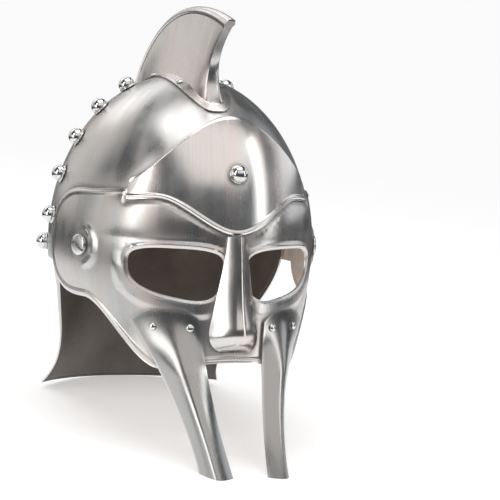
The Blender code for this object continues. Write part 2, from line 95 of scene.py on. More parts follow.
# Face guard
FACE_TOP = 0.049
MOUTH_RISE = 0.007
LOBE_TOP = 0.046
LOBE_BOTTOM = 0.042
LOBE_START = math.radians(69)
LOBE_END = math.radians(94)
LOBE_SQUARENESS = 2.6
CHEEK_START = math.radians(33)
EAR_ANGLE = math.radians(70)
EYE_INNER_TURN = math.radians(5.5)
EYE_OUTER_TURN = math.radians(46)
EYE_ABOVE = 0.013
EYE_BELOW = 0.033
EYE_OUTER_SHARE = 0.60
EYE_SQUARENESS = 3.0
EYE_BEAD = (0.0030, 0.0030)
EYE_BEAD_SHARE = 1.6
EYE_BAND = 0.0014
EYE_BAND_TOP = (0.004, 0.014)
EYE_BAND_START = 0.005
EYE_BAND_END = (0.0165, 0.006)
EYE_SWELL = 0.0022
EYE_SWELL_RISE = 0.0065
EYE_SWELL_INNER = (0.10, 0.16)
EYE_SWELL_OUTER = (0.12, 0.30)
FACE_BEAD = (0.0034, 0.0022)
SCREW_BEAD = (0.0165, 0.0042)
SCREW_BEAD_SHARE = 2.2
SCREW_BEAD_FADE = 0.014
UNDER_BROW = (0.001, 0.002)
PAST_BROW = (0.004, 0.03)

# Sweep of the sine that spaces points towards the ear lobe's end, just short of a quarter turn
LOBE_SWEEP = 1.57

# Brow plate
BROW_SPAN = math.radians(48)
BROW_ROOT = 0.015
BROW_ARCH = 0.042
BROW_ARCH_PLACE = 0.72
BROW_END_LOW = 0.040
BROW_END_TOP = 0.053
BROW_STAND_OFF = 0.016
BROW_RETURN_RISE = 0.004
BROW_STUD_PLACE = 0.46
BROW_TOP_POWER = 1.25
BROW_LEAN_POWER = 1.3
BROW_BEND_BACK = 0.22
BROW_BEND_DOWN = 0.035
BROW_BEAD = (0.0026, 0.0020)

# Nasal
NASAL_TOP_HALF_WIDTH = 0.008
NASAL_HALF_WIDTH = 0.0235
NASAL_TOP_RIDGE = 0.006
NASAL_RIDGE = 0.020
NASAL_END = 0.020
NASAL_END_SHARE = 0.45
NASAL_SPREAD_POWER = 1.2
NASAL_SOFTNESS = 0.2

# Cheek guards
CHEEK_TOP = 0.046
CHEEK_TOP_ROUND = 0.009
CHEEK_FRONT = 0.027
CHEEK_REAR = 0.072
CHEEK_TIP_FRONT = 0.013
CHEEK_TIP_REAR = 0.035
CHEEK_RIB = 0.0088
CHEEK_RIB_START = 0.4
CHEEK_SOFTNESS = 0.3
CHEEK_REAR_POWER = 1.7
CHEEK_SEATED = 0.45
CHEEK_OVERRUN = 1.05
CHEEK_RIVET_PLACES = ((-0.6, 0.09), (0.6, 0.09))

# Crest
CREST_BODY_HEIGHT = 0.052
CREST_REAR_HEIGHT = 0.010
CREST_REAR_ANGLE = math.radians(60)
CREST_FRONT_ANGLE = math.radians(33)
CREST_TIP_ANGLE = math.radians(29)
CREST_FRONT_HOLLOW = 0.018
CREST_HALF_WIDTH = 0.014
CREST_RIM_HALF_WIDTH = 0.0035
CREST_RIM_CROWN = 0.0015
CREST_FLANGE = 0.009
CREST_FOOT_SHARE = 0.12
CREST_TIP_POWER = 4
CREST_TAPER_POWER = 1.6
CREST_HOLLOW_POWER = 6
CREST_BODY_ROUND = 4
CREST_FLANGE_ROUND = 6
CREST_OVERHANG_POWER = 9
CREST_BEAD = (0.0030, 0.0026)
CREST_BEAD_HEIGHT = 0.0012
CREST_RIVET_SHARES = (0.25, 0.53, 0.81)
CREST_RIVET_RISE = -0.5

# Studs, rivets and screws: places, sizes, and shares of their radius or height
STUD_BASE = 0.16
STUD_NECK = 0.86
STUD_DOME = 0.93
STUD_DOME_FOOT = 0.30
STUD_UNDERCUT = 0.10
CROWN_STUD_SET_BACK = 0.018
CROWN_STUD_TURNS = np.linspace(math.radians(24), math.radians(82), 5)
SEAM_STUD_FIRST = math.radians(113)
SEAM_STUD_TURNS = np.linspace(SEAM_STUD_FIRST, 2 * math.pi - SEAM_STUD_FIRST, 7)
SEAM_STUD_RISE = -0.006
RIVET_RADIUS = 0.0032
RIVET_HEIGHT = 0.0020
RIVET_EDGE = 0.22
SCREW_RADIUS = 0.0085
SCREW_HEIGHT = 0.0040
SCREW_SLOT_WIDTH = 0.0020
SCREW_SLOT_DEPTH = 0.0018
SCREW_SLOT_TURN = math.radians(60)
SCREW_SLOT_WALL = 0.94
SCREW_DOME_POWER = 0.8

# Sheets: slot, polish, the material's tone (painted light and shade: each piece's steel made lighter or
# darker), roughness, warmth and grain, and reach of its edges' bright wear and painted highlight
SHEETS = {
    "skull": ("skull_steel", "buffed", 0.90, 1.3, 0.5, 0.5, 0.0016),
    "neck_guard": ("neck_steel", "buffed", 0.86, 1.3, 1.0, 1.0, 0.0016),
    "face_guard": ("face_steel", "buffed", 0.88, 1.15, 1.0, 1.0, 0.0018),
    "brow_plate": ("brow_steel", "polished", 1.18, 0.9, 1.0, 0.4, 0.0018),
    "nasal": ("nasal_steel", "polished", 1.02, 0.8, 1.0, 1.0, 0.0014),
    "cheek_guard": ("cheek_steel", "polished", 0.62, 0.9, 0.4, 1.0, 0.0014),
    "crest": ("crest_steel", "buffed", 0.98, 1.15, 1.0, 1.0, 0.0018),
}

# Tone of the dull inner sides, painted light that lifts the shaded inside of the helmet and painted shade
# that darkens the neck guard's inside, and roughness of the turned heads
INSIDES = {"dull_inside_painted_light": 3.7, "dull_neck_inside_painted_shade": 0.6}
TURNED = {"stud_steel_turned": 0.09, "screw_steel_turned": 0.28}

# Reach of the grime and painted shade beside seams and round heads: a dark mark for dirt in the crevices that
# also paints the shade falling between the parts
SKULL_GRIME_AND_SHADE = 0.0028
NECK_GRIME_AND_SHADE = 0.004
FACE_GRIME_AND_SHADE = 0.0026
HEAD_GRIME_AND_SHADE = 0.0022
BROW_GRIME_AND_SHADE = 0.002

# Camera, fitted to the photograph in the worn frame
CAMERA_AZIMUTH = math.radians(-23.3)
CAMERA_ELEVATION = math.radians(5.2)
CAMERA_ROLL = math.radians(2.5)
CAMERA_DISTANCE = 2.4
PIXELS_PER_METRE = 1192
FRAME_PIXELS = 500
SENSOR_WIDTH = 36
AIM_POINT = (0.0, -0.020, 0.0)
AIM_RIGHT = 0.0528
AIM_DOWN = 0.0064

# Floor, whose near part alone shows in the steel, and backdrop
NEAR_FLOOR = 0.62
FAR_FLOOR = 7.0
BACKDROP_REACH = 6.9
BACKDROP_FOOT = -0.05
STAGE_COLUMNS = 97

# Lights: name, turn from the front and lift above the floor in degrees, distance, size, radiance, tint
LIGHT_AIM = (0.0, 0.0, 0.18)
LIGHTS = (
    ("front_fill", 0, 42, 2.8, (4.2, 2.0), 0.86, (1.0, 0.96, 0.93)),
    ("left_window", -75, 20, 1.8, (0.5, 1.8), 3.0, (1.0, 0.98, 0.96)),
    ("left_rear", -152, 18, 2.2, (1.8, 1.8), 0.78, (1.0, 0.96, 0.92)),
    ("left_wall", -98, 7, 2.2, (1.7, 0.9), 0.8, (1.0, 0.97, 0.94)),
    ("right_strip", 55, 15, 1.9, (0.35, 1.8), 2.8, (1.0, 0.99, 0.98)),
    ("right_wall", 100, 20, 2.2, (1.4, 1.4), 0.9, (0.94, 0.97, 1.0)),
    ("top", 0, 90, 2.0, (2.0, 1.6), 2.2, (1.0, 1.0, 1.0)),
    ("back", 180, 35, 2.2, (2.0, 1.0), 1.3, (1.0, 1.0, 1.0)),
)

SIDES = ((-1, "right"), (1, "left"))
MIRROR = np.array([-1, 1, 1])


def length(name, description, default):
    """A property for a length in metres."""
    looks = {"min": 0.0, "precision": 4, "unit": "LENGTH", "subtype": "DISTANCE"}
    return bpy.props.FloatProperty(name=name, description=description, default=default, **looks)


def color(name, description, default):
    """A property for a linear RGB colour."""
    looks = {"size": 3, "min": 0.0, "max": 1.0, "subtype": "COLOR"}
    return bpy.props.FloatVectorProperty(name=name, description=description, default=default, **looks)


def share(name, description, default):
    """A property for a number from 0 to 1."""
    looks = {"min": 0.0, "max": 1.0, "subtype": "FACTOR"}
    return bpy.props.FloatProperty(name=name, description=description, default=default, **looks)


class HelmetSizes(bpy.types.PropertyGroup):
    """Main sizes of the helmet."""

    half_width: length("Half width", "Half the skull's width at the ear screws", 0.108)
    half_length: length("Half length", "Half the skull's length at the ear screws", 0.125)
    height: length("Crown height", "Height of the crown above the ear screws", 0.140)
    sheet: length("Sheet", "Thickness of the steel sheet", 0.0015)
    rim_drop: length("Rim drop", "Depth of the neck guard's rim below the ear screws", 0.134)
    flare: length("Rim flare", "How far the neck guard's rim stands out", 0.0165)
    eye_top: length("Eye top", "Height of the eye openings' upper edges above the ear screws", 0.004)
    brow_apex: length("Brow apex", "Height of the brow plate's top above the ear screws", 0.099)
    nasal_length: length("Nasal length", "Length of the nose piece", 0.093)
    cheek_tip: length("Cheek tip", "Depth of the cheek guards' tips below the ear screws", 0.180)
    crest_height: length("Crest height", "Height of the crest's tip above the skull", 0.074)
    stud_radius: length("Stud radius", "Radius of the studs", 0.0075)
    stud_height: length("Stud height", "Height of the studs", 0.0094)
    bead: length("Edge bead", "Height of the raised beads along the edges", 0.0009)


class HelmetFinish(bpy.types.PropertyGroup):
    """Colours and polish of the helmet."""

    steel: color("Steel", "Colour of the buffed steel", (0.66, 0.665, 0.66))
    warm: color("Warm steel", "Colour of the steel's warmer streaks", (0.74, 0.68, 0.645))
    inside: color("Inside", "Colour of the unpolished inner sides", (0.20, 0.175, 0.155))
    # Colour of the grime and painted shade that darkens the steel beside seams, studs and screws
    grime_and_shade: color("Grime", "Colour of the dark grime beside the fittings", (0.10, 0.09, 0.08))
    stud: color("Studs", "Colour of the turned studs", (0.78, 0.78, 0.77))
    roughness: share("Roughness", "Roughness of the buffed steel", 0.23)


class HelmetStage(bpy.types.PropertyGroup):
    """Floor, backdrop and light."""

    floor: color("Floor", "Colour of the floor", (0.86, 0.86, 0.86))
    backdrop: color("Backdrop", "Colour behind the helmet", (0.96, 0.96, 0.96))
    floor_glow: share("Floor glow", "Light that the floor gives off under the helmet", 0.42)
    room: color("Room", "Colour of the dim room round the lights", (0.08, 0.085, 0.09))


def smooth(x):
    """Ease from 0 to 1 with level ends: 3 x squared less 2 x cubed."""
    x = np.clip(x, 0.0, 1.0)
    return x * x * (3 - 2 * x)


def eased(value, start, width):
    """Ease from 0 at a start to 1 a width beyond it."""
    return smooth((value - start) / width)


def mix(a, b, part):
    """Straight blend from a to b."""
    return a + (b - a) * part


def quarter(part):
    """Cosine that falls from 1 to 0 as the part goes from 0 to 1."""
    return np.cos(np.clip(part, 0, 1) * math.pi / 2)


def paired(a, b):
    """Two numbers or arrays brought to one shape."""
    return np.broadcast_arrays(np.asarray(a, float), np.asarray(b, float))


def unit(vector):
    """The vector at length 1."""
    return vector / np.linalg.norm(vector, axis=-1, keepdims=True)


def close_ends(count, hold=0.75):
    """Numbers from 0 to 1 that lie closer together at both ends: t less a sine of one whole turn."""
    t = np.linspace(0, 1, count)
    return t - hold * np.sin(2 * math.pi * t) / (2 * math.pi)


def roof(p, softness):
    """Height of a rounded ridge across a strip: a hyperbola, 1 on its centre line and 0 at its edges."""
    rise = np.sqrt(p**2 + softness**2) - softness
    return 1 - rise / (math.sqrt(1 + softness**2) - softness)


def bead(distance, centre, half):
    """A round bead beside an edge: a squared cosine of the distance from the bead's centre line."""
    return np.cos(np.clip((distance - centre) / half, -1, 1) * math.pi / 2) ** 2


def to_lobe_end(first, count, end_count):
    """Angles from a first one to the start of the ear lobe, and on to its end, closer and closer together."""
    end = mix(LOBE_START, LOBE_END, np.sin(np.linspace(0, LOBE_SWEEP, end_count)))
    return np.concatenate([np.linspace(first, LOBE_START, count), end])


def normal_at(point, across, down, step=0.01):
    """Outward normal of a surface given as point(across, down), with across running to wearer's left."""
    along_across = point(across + step, down) - point(across - step, down)
    along_down = point(across, down + step) - point(across, down - step)
    return unit(np.cross(along_down, along_across))


class Form:
    """The helmet's surfaces in the worn frame, from its sizes."""

    def __init__(self, sizes):
        self.s = sizes
        self.face_out = FIT_GAP + sizes.sheet
        self.mounted = self.face_out + FIT_GAP
        self.tip_matrix()

    def wall_share(self, z):
        """Width of the wall at a height, as a share of the skull's: an ellipsoid above the ear screws, and
        below them a wall that draws in with the same curvature and then runs nearly straight."""
        z = np.asarray(z, float)
        dome = np.sqrt(np.clip(1 - (z / self.s.height) ** 2, 0.0, 1.0))
        jaw = 1 - (z**2 / (2 * self.s.height**2)) / (1 + (z / JAW_BLEND) ** 2)
        return np.where(z > 0, dome, jaw)

    def wall(self, u, z):
        """Point of the wall at angle u from the front and height z: an ellipse in plan, times the share for
        the height, with the chin led forward by a squared cosine."""
        u, z = paired(u, z)
        part = self.wall_share(z)
        lead = CHIN_LEAD * (np.minimum(z, 0) / FACE_DROP) ** 2 * np.maximum(np.cos(u), 0) ** 2
        x = self.s.half_width * part * np.sin(u)
        y = -self.s.half_length * part * np.cos(u) - lead
        return np.stack([x, y, z], -1)

    def wall_normal(self, u, z):
        """Outward unit normal of the wall, the cross product of its two slopes."""
        step = 1e-5
        across = self.wall(u + step, z) - self.wall(u - step, z)
        down = self.wall(u, z - step) - self.wall(u, z + step)
        return unit(np.cross(down, across))

    def off_wall(self, u, z, out):
        """Point at a distance out from the wall, along its normal."""
        return self.wall(u, z) + self.wall_normal(u, z) * np.asarray(out, float)[..., None]

    def dome_at(self, x, y, out):
        """Point on the skull's ellipsoid above the plan position x, y, moved out along its normal."""
        s = self.s
        part = (x / s.half_width) ** 2 + (y / s.half_length) ** 2
        z = s.height * np.sqrt(np.clip(1 - part, 1e-6, 1.0))
        normal = unit(np.stack([x / s.half_width**2, y / s.half_length**2, z / s.height**2], -1))
        return np.stack([x, y, z], -1) + normal * np.asarray(out, float)[..., None]

    def skull_edge(self, u):
        """Height of the skull's lower edge: high over the face, eased down to low behind the ears."""
        from_front = np.abs(np.arctan2(np.sin(u), np.cos(u)))
        behind = smooth((from_front - SKULL_EDGE_TURN) / (LOBE_START - SKULL_EDGE_TURN))
        return mix(SKULL_BROW_RISE, -SKULL_REAR_DROP, behind)

    def skull(self, columns=216, rows=84):
        """Rows from the crown down to the edge, turned evenly over the ellipsoid, and columns all round."""
        u = np.linspace(0, 2 * math.pi, columns, endpoint=False)
        edge = self.skull_edge(u)
        height = self.s.height
        reach = np.arccos(np.clip(edge / height, 0, 1)) + np.maximum(-edge, 0) / height
        turn = np.sin(np.linspace(0, math.pi / 2, rows + 1))[:, None] * reach[None, :]
        z = np.where(turn < math.pi / 2, height * np.cos(turn), -(turn - math.pi / 2) * height)
        return self.wall(np.broadcast_to(u, z.shape), z)

    def neck_profile(self, z):
        """Distance from an upright wall: a cube of the drop thrown out, less a hump drawn in at the waist."""
        drop = np.clip(-z / self.s.rim_drop, 0, 1)
        return self.s.flare * drop**3 - WAIST_IN * WAIST_PEAK * drop**2 * (1 - drop)

    def neck_point(self, across, z, relief=0.0):
        """Point of the neck guard's outer side, from -1 at one side edge to 1 at the other: the tucked wall's
        plan, moved outwards by the profile."""
        across, z = paired(across, z)
        narrowing = smooth((-z - SKULL_REAR_DROP) / (self.s.rim_drop - SKULL_REAR_DROP))
        u = math.pi + across * mix(NECK_SPAN, RIM_SPAN, narrowing)
        plan = np.array([1, 1, 0])
        outward = unit(self.wall(u, np.zeros_like(z)) * plan)
        tucked = self.off_wall(u, np.maximum(z, -SKULL_REAR_DROP), -(self.s.sheet + NECK_GAP))
        drawn = tucked * plan + outward * (self.neck_profile(z) + relief)[..., None]
        return np.stack([drawn[..., 0], drawn[..., 1], z], -1)

    def neck_guard(self, columns=181):
        """Rows from the tucked top edge down to the rim, and columns across, with beads beside the free
        edges."""
        tuck = np.linspace(NECK_TUCK - SKULL_REAR_DROP, -SKULL_REAR_DROP, 9)
        free = -mix(SKULL_REAR_DROP, self.s.rim_drop - RIM_EASE, close_ends(90)[1:])
        z, across = np.meshgrid(np.concatenate([tuck, free]), 2 * close_ends(columns) - 1, indexing="ij")
        points = self.neck_point(across, z)
        below = points[len(tuck) - 1 :]
        edge = np.concatenate([points[-1], below[:, 0], below[:, -1]])
        return self.neck_point(across, z, self.s.bead * bead(nearest(points, edge), *NECK_BEAD))

    def lobe_round(self, u):
        """Share of the ear lobe's height left at an angle: a superellipse that falls to 0 at its end."""
        past = np.clip((u - LOBE_START) / (LOBE_END - LOBE_START), 0, 1)
        return (1 - past**LOBE_SQUARENESS) ** (1 / LOBE_SQUARENESS)

    def face_top(self, u):
        """Upper edge of the face guard: under the brow plate, then eased up the temple to the ear lobe."""
        side = mix(FACE_TOP, LOBE_TOP, smooth((u - BROW_SPAN) / (LOBE_START - BROW_SPAN)))
        return side * self.lobe_round(u)

    def face_bottom(self, u):
        """Lower edge of the face guard: a cosine arch at the mouth, then eased up to the ear lobe."""
        mouth = FACE_DROP - MOUTH_RISE * quarter(u / CHEEK_START)
        side = mix(mouth, LOBE_BOTTOM, smooth((u - CHEEK_START) / (LOBE_START - CHEEK_START)))
        return -side * self.lobe_round(u)

    def eye_depth(self, across):
        """Depth of the eye opening below its middle line, less towards its outer end at across = 1."""
        return EYE_BELOW * mix(1, EYE_OUTER_SHARE, np.clip((1 + across) / 2, 0, 1))

    def eye_outline(self, count=240):
        """Angles and heights round the left eye opening: a superellipse with a shallower outer end."""
        turn = np.linspace(0, 2 * math.pi, count, endpoint=False)
        across = np.sign(np.cos(turn)) * np.abs(np.cos(turn)) ** (2 / EYE_SQUARENESS)
        up = np.sign(np.sin(turn)) * np.abs(np.sin(turn)) ** (2 / EYE_SQUARENESS)
        z = np.where(up > 0, EYE_ABOVE, self.eye_depth(across)) * up + self.s.eye_top - EYE_ABOVE
        return mix(EYE_INNER_TURN, EYE_OUTER_TURN, (1 + across) / 2), z

    def face_guard(self):
        """Points of the face guard, and which faces stay. Rows follow five curves across the face: its top
        edge, the eye's top, middle and bottom, and its bottom edge. Round each eye the block of the grid
        is drawn in from a square to a superellipse, so that its border is the opening's edge."""
        middle = (EYE_INNER_TURN + EYE_OUTER_TURN) / 2
        half_turn = (EYE_OUTER_TURN - EYE_INNER_TURN) / 2
        parts = (
            EYE_INNER_TURN * close_ends(22)[11:] * 2 - EYE_INNER_TURN,
            mix(EYE_INNER_TURN, EYE_OUTER_TURN, close_ends(76)),
            mix(EYE_OUTER_TURN, LOBE_START, close_ends(32)),
            mix(LOBE_START, LOBE_END, np.sin(np.linspace(0, math.pi / 2, 44))),
        )
        half = np.concatenate([[0.0], *[part[1:] for part in parts]])
        eye_columns = slice(len(parts[0]) - 1, len(parts[0]) + len(parts[1]) - 2)
        across = (half - middle) / half_turn
        mid_z = self.s.eye_top - EYE_ABOVE
        top, bottom = self.face_top(half), self.face_bottom(half)
        past = smooth((half - EYE_OUTER_TURN) / (LOBE_START - EYE_OUTER_TURN))
        levels = [mid_z + EYE_ABOVE, mid_z, mid_z - self.eye_depth(across)]
        levels = [mix(level, mix(bottom, top, rest), past) for level, rest in zip(levels, (0.62, 0.48, 0.34))]
        curves = [top, *levels, bottom]
        counts = (30, 14, 16, 48)
        rows = [top[None]]
        for upper, lower, count in zip(curves, curves[1:], counts):
            rows.append(mix(upper[None], lower[None], close_ends(count)[1:, None]))
        z = np.concatenate(rows)
        eye_rows = slice(counts[0] - 1, sum(counts[:3]) - 3)
        u = np.broadcast_to(half, z.shape)
        reach = np.where(z > mid_z, EYE_ABOVE, self.eye_depth(across))
        up = (z - mid_z) / reach
        square = np.maximum(np.abs(across), np.abs(up))
        round_ = (np.abs(across) ** EYE_SQUARENESS + np.abs(up) ** EYE_SQUARENESS) ** (1 / EYE_SQUARENESS)
        outer = middle / half_turn
        draw = mix(1, square / np.maximum(round_, 1e-9), 1 - smooth((square - 1) / (outer - 1)))
        new_across, new_up = across * draw, up * draw
        u = np.where(square < outer, middle + half_turn * new_across, u)
        new_reach = np.where(z > mid_z, EYE_ABOVE, self.eye_depth(new_across))
        z = np.where(square < outer, mid_z + new_reach * new_up, z)
        keep = np.ones((z.shape[0] - 1, z.shape[1] - 1), bool)
        keep[eye_rows, eye_columns] = False
        u = np.concatenate([-u[:, :0:-1], u], 1)
        z = np.concatenate([z[:, :0:-1], z], 1)
        keep = np.concatenate([keep[:, ::-1], keep], 1)
        return self.off_wall(u, z, self.face_out + self.face_relief(u, z)), keep

    def lobe_line(self):
        """Angles and heights along the upper edge of the face guard beside the brow plate, on the left."""
        u = to_lobe_end(BROW_SPAN, 60, 60)
        return u, self.face_top(u)

    def face_relief(self, u, z):
        """Raised work on the face guard: a bead round each eye, a low band below it and a low swell over it,
        a bead beside the outer edge, and a ridge before each ear screw. It fades under the brow plate."""
        turned = np.abs(u)
        points = self.off_wall(turned, z, self.face_out)
        to_eye = nearest(points, self.off_wall(*self.eye_outline(900), self.face_out))
        edge_u = to_lobe_end(0, 800, 400)
        upper_u = edge_u[edge_u > BROW_SPAN * 0.9]
        edge_z = np.concatenate([self.face_bottom(edge_u), self.face_top(upper_u)])
        edge = self.off_wall(np.concatenate([edge_u, upper_u]), edge_z, self.face_out)
        to_screw = np.linalg.norm(points - self.off_wall(EAR_ANGLE, 0.0, self.face_out), axis=-1)
        band = smooth(to_eye / EYE_BAND_START) * smooth((EYE_BAND_END[0] - to_eye) / EYE_BAND_END[1])
        swell_foot = self.s.eye_top + EYE_SWELL_RISE
        over = np.clip((z - swell_foot) / (self.face_top(turned) - swell_foot), 0, 1)
        beside = eased(turned, *EYE_SWELL_INNER) * eased(LOBE_START - turned, *EYE_SWELL_OUTER)
        forward = smooth((EAR_ANGLE - turned) * self.s.half_width / SCREW_BEAD_FADE)
        work = (
            EYE_BEAD_SHARE * self.s.bead * bead(to_eye, *EYE_BEAD),
            EYE_BAND * band * eased(self.s.eye_top - z, *EYE_BAND_TOP),
            EYE_SWELL * (1 - (2 * over - 1) ** 2) * beside,
            self.s.bead * bead(nearest(points, edge), *FACE_BEAD),
            SCREW_BEAD_SHARE * self.s.bead * bead(to_screw, *SCREW_BEAD) * forward,
        )
        clear = eased(self.brow_edges(turned / BROW_SPAN)[0] - z, *UNDER_BROW)
        return np.max(work, axis=0) * np.maximum(clear, eased(turned - BROW_SPAN, *PAST_BROW))

    def brow_edges(self, p):
        """Lower and upper edge heights of the brow plate at p, 0 on the midline and 1 at an end: an eased
        arch below, and a power of a cosine above."""
        p = np.abs(p)
        arch = mix(BROW_ROOT, BROW_ARCH, smooth(p / BROW_ARCH_PLACE))
        lower = arch + (BROW_END_LOW - BROW_ARCH) * smooth((p - BROW_ARCH_PLACE) / (1 - BROW_ARCH_PLACE))
        rise = (self.s.brow_apex - BROW_END_TOP) * quarter(p) ** BROW_TOP_POWER
        return lower, BROW_END_TOP + rise

    def brow_point(self, p, q, relief=0.0):
        """Point of the brow plate's outer side, across it from -1 to 1 and down it from 0 to 1: it leans out
        from the face by a cosine across, times a power of the distance up."""
        p, q = paired(p, q)
        lower, upper = self.brow_edges(p)
        lean = BROW_STAND_OFF * quarter(np.abs(p)) * (1 - q) ** BROW_LEAN_POWER
        return self.off_wall(p * BROW_SPAN, mix(upper, lower, q), self.mounted + self.s.sheet + lean + relief)

    def brow_seat(self, p, out):
        """Line on the skull above the brow plate's top edge, across it from -1 to 1."""
        return self.off_wall(p * BROW_SPAN, self.brow_edges(p)[1] + BROW_RETURN_RISE, out)

    def brow_plate(self, columns=161):
        """The seat on the skull, the return out to the top edge, a rounded fold and the leaning front, with a
        bead beside the lower edge."""
        p = 2 * close_ends(columns, 0.5) - 1
        seat = self.brow_seat(p, self.face_out)
        fold = self.brow_point(p, 0.0)
        back = mix(fold, seat, BROW_BEND_BACK)
        down = self.brow_point(p, BROW_BEND_DOWN)
        shelf = [mix(seat, back, t) for t in np.linspace(0, 1, 8)]
        bend = [(1 - t) ** 2 * back + 2 * t * (1 - t) * fold + t**2 * down for t in np.linspace(0, 1, 7)[1:]]
        q = mix(BROW_BEND_DOWN, 1, close_ends(64, 0.6)[1:])[:, None]
        to_edge = nearest(self.brow_point(p[None], q), self.brow_point(p, 1.0))
        front = self.brow_point(p[None], q, self.s.bead * bead(to_edge, *BROW_BEAD))
        return np.concatenate([np.stack(shelf + bend), front])

    def nasal_point(self, p, q):
        """Point of the nasal's outer side: it widens and rises downwards by a power of q, and a quarter
        circle closes its lower end."""
        p, q = paired(p, q)
        spread = q**NASAL_SPREAD_POWER
        from_end = np.clip((1 - q) * self.s.nasal_length / NASAL_END, 0, 1)
        end = np.sqrt(1 - (1 - from_end) ** 2)
        half_width = mix(NASAL_TOP_HALF_WIDTH, NASAL_HALF_WIDTH, spread) * mix(NASAL_END_SHARE, 1, end)
        ridge = mix(NASAL_TOP_RIDGE, NASAL_RIDGE, spread) * end * roof(p, NASAL_SOFTNESS)
        z = BROW_ROOT - SEAT_GAP - q * self.s.nasal_length
        u = half_width * p / (self.s.half_width * self.wall_share(z))
        return self.off_wall(u, z, self.mounted + self.s.sheet + ridge)

    def nasal(self, columns=65):
        """Rows down to where the end starts, then rows that close up round it."""
        end_start = 1 - NASAL_END / self.s.nasal_length
        around = end_start + (1 - end_start) * np.sin(np.linspace(0, math.pi / 2, 22))[1:]
        q = np.concatenate([np.linspace(0, end_start, 60), around])
        return self.nasal_point(np.linspace(-1, 1, columns)[None], q[:, None])

    def cheek_point(self, side, p, q):
        """Point of a cheek guard's outer side, across it from -1 to 1 and down it from 0 to its tip at 1. Its
        front edge runs straight, its rear edge by a power, and a rounded rib rises along it."""
        p, q = paired(p, q)
        front = mix(CHEEK_FRONT, CHEEK_TIP_FRONT, q)
        rear = mix(CHEEK_TIP_REAR, CHEEK_REAR, np.clip(1 - q, 0, 1) ** CHEEK_REAR_POWER)
        x = mix(front, rear, (1 + side * p) / 2)
        z = -mix(CHEEK_TOP + CHEEK_TOP_ROUND * np.abs(p) ** 3, self.s.cheek_tip, q)
        u = side * np.arcsin(x / (self.s.half_width * self.wall_share(z)))
        rib = CHEEK_RIB * smooth(q / CHEEK_RIB_START) * roof(p, CHEEK_SOFTNESS)
        return self.off_wall(u, z, self.mounted + CHEEK_SHEET + rib)

    def crest_side(self, along, rise, relief=0.0):
        """Point of the crest's left side, from along 0 at its rear end to 1 at its front, and from rise -1 at
        its flange's edge, over 0 where its wall starts, to 1 at its rim. The wall narrows upwards by a power
        and swells between its ends."""
        along, rise = paired(along, rise)
        body = np.clip(rise, 0, 1)
        foot = np.clip(-rise, 0, 1)
        overhang = CREST_FLANGE / self.s.height * foot * (2 * along - 1) ** CREST_OVERHANG_POWER
        base_turn = mix(-CREST_REAR_ANGLE, CREST_FRONT_ANGLE, along) + overhang
        rim_turn = mix(-CREST_REAR_ANGLE, CREST_TIP_ANGLE, along)
        height = mix(CREST_REAR_HEIGHT, CREST_BODY_HEIGHT, np.sqrt(np.sin(along * math.pi / 2)))
        height = height + (self.s.crest_height - CREST_BODY_HEIGHT) * along**CREST_TIP_POWER
        swell = np.sqrt(np.clip(1 - (2 * along - 1) ** CREST_BODY_ROUND, 0, 1))
        taper = (1 - body) ** CREST_TAPER_POWER
        half = CREST_RIM_HALF_WIDTH + (CREST_HALF_WIDTH - CREST_RIM_HALF_WIDTH) * taper * swell + relief
        flange = CREST_FLANGE * foot * np.sqrt(np.clip(1 - (2 * along - 1) ** CREST_FLANGE_ROUND, 0, 1))
        base = self.dome_at(half + flange, -self.s.half_length * np.sin(base_turn), FIT_GAP + CREST_SHEET)
        hollow = CREST_FRONT_HOLLOW * 4 * body * (1 - body) * along**CREST_HOLLOW_POWER
        y = mix(base[..., 1], -(self.s.half_length + height) * np.sin(rim_turn), body) + hollow
        z = mix(base[..., 2], (self.s.height + height) * np.cos(rim_turn), body)
        return np.stack([mix(base[..., 0], half, np.clip(8 * body, 0, 1)), y, z], -1)

    def crest(self, columns=112):
        """A hollow fin, open below: rows from its rounded rim down the wall and out over the flange, on the
        left from front to rear and on the right back again, so that both ends are closed."""
        along = 1 - close_ends(columns, 0.6)
        wall = mix(1, CREST_FOOT_SHARE, close_ends(44, 0.6))
        rise = np.concatenate([wall, np.linspace(CREST_FOOT_SHARE, 0, 9)[1:], -np.linspace(0, 1, 9)[1:]])
        rim_bead = CREST_BEAD_HEIGHT * bead(np.clip(1 - rise, 0, 1) * self.s.crest_height, *CREST_BEAD)
        left = self.crest_side(along[None], rise[:, None], rim_bead[:, None])
        turns = np.linspace(0, math.pi / 2, 6)[:-1, None, None]
        crown = left[:1] * np.concatenate([np.sin(turns), np.ones_like(turns), np.ones_like(turns)], -1)
        crown = crown + np.concatenate([0 * turns, 0 * turns, CREST_RIM_CROWN * np.cos(turns)], -1)
        left = np.concatenate([crown, left])
        return np.concatenate([left, left[:, ::-1] * MIRROR], 1)

    def mounted_outlines(self):
        """Points along the outlines of the pieces mounted on the face guard."""
        across = np.linspace(-1, 1, 120)
        down = np.linspace(0, 1, 90)
        lines = [self.off_wall(across * BROW_SPAN, self.brow_edges(across)[0], self.face_out)]
        lines += [self.nasal_point(side, down) for side in (-1.0, 1.0)]
        for side in (-1, 1):
            lines += [self.cheek_point(side, p, down * CHEEK_SEATED) for p in (-1.0, 1.0)]
            lines.append(self.cheek_point(side, across, 0.0))
        return np.concatenate(lines)

    def seam_seats(self):
        """Seats of the studs along the neck guard's seam."""
        return self.wall(SEAM_STUD_TURNS, SEAM_STUD_RISE)

    def crown_seat(self, turn, out):
        """Point above the dome on the crown studs' line, at a turn down from the midline to the left."""
        slice_share = math.sqrt(1 - (CROWN_STUD_SET_BACK / self.s.half_length) ** 2)
        return self.dome_at(self.s.half_width * slice_share * math.sin(turn), CROWN_STUD_SET_BACK, out)

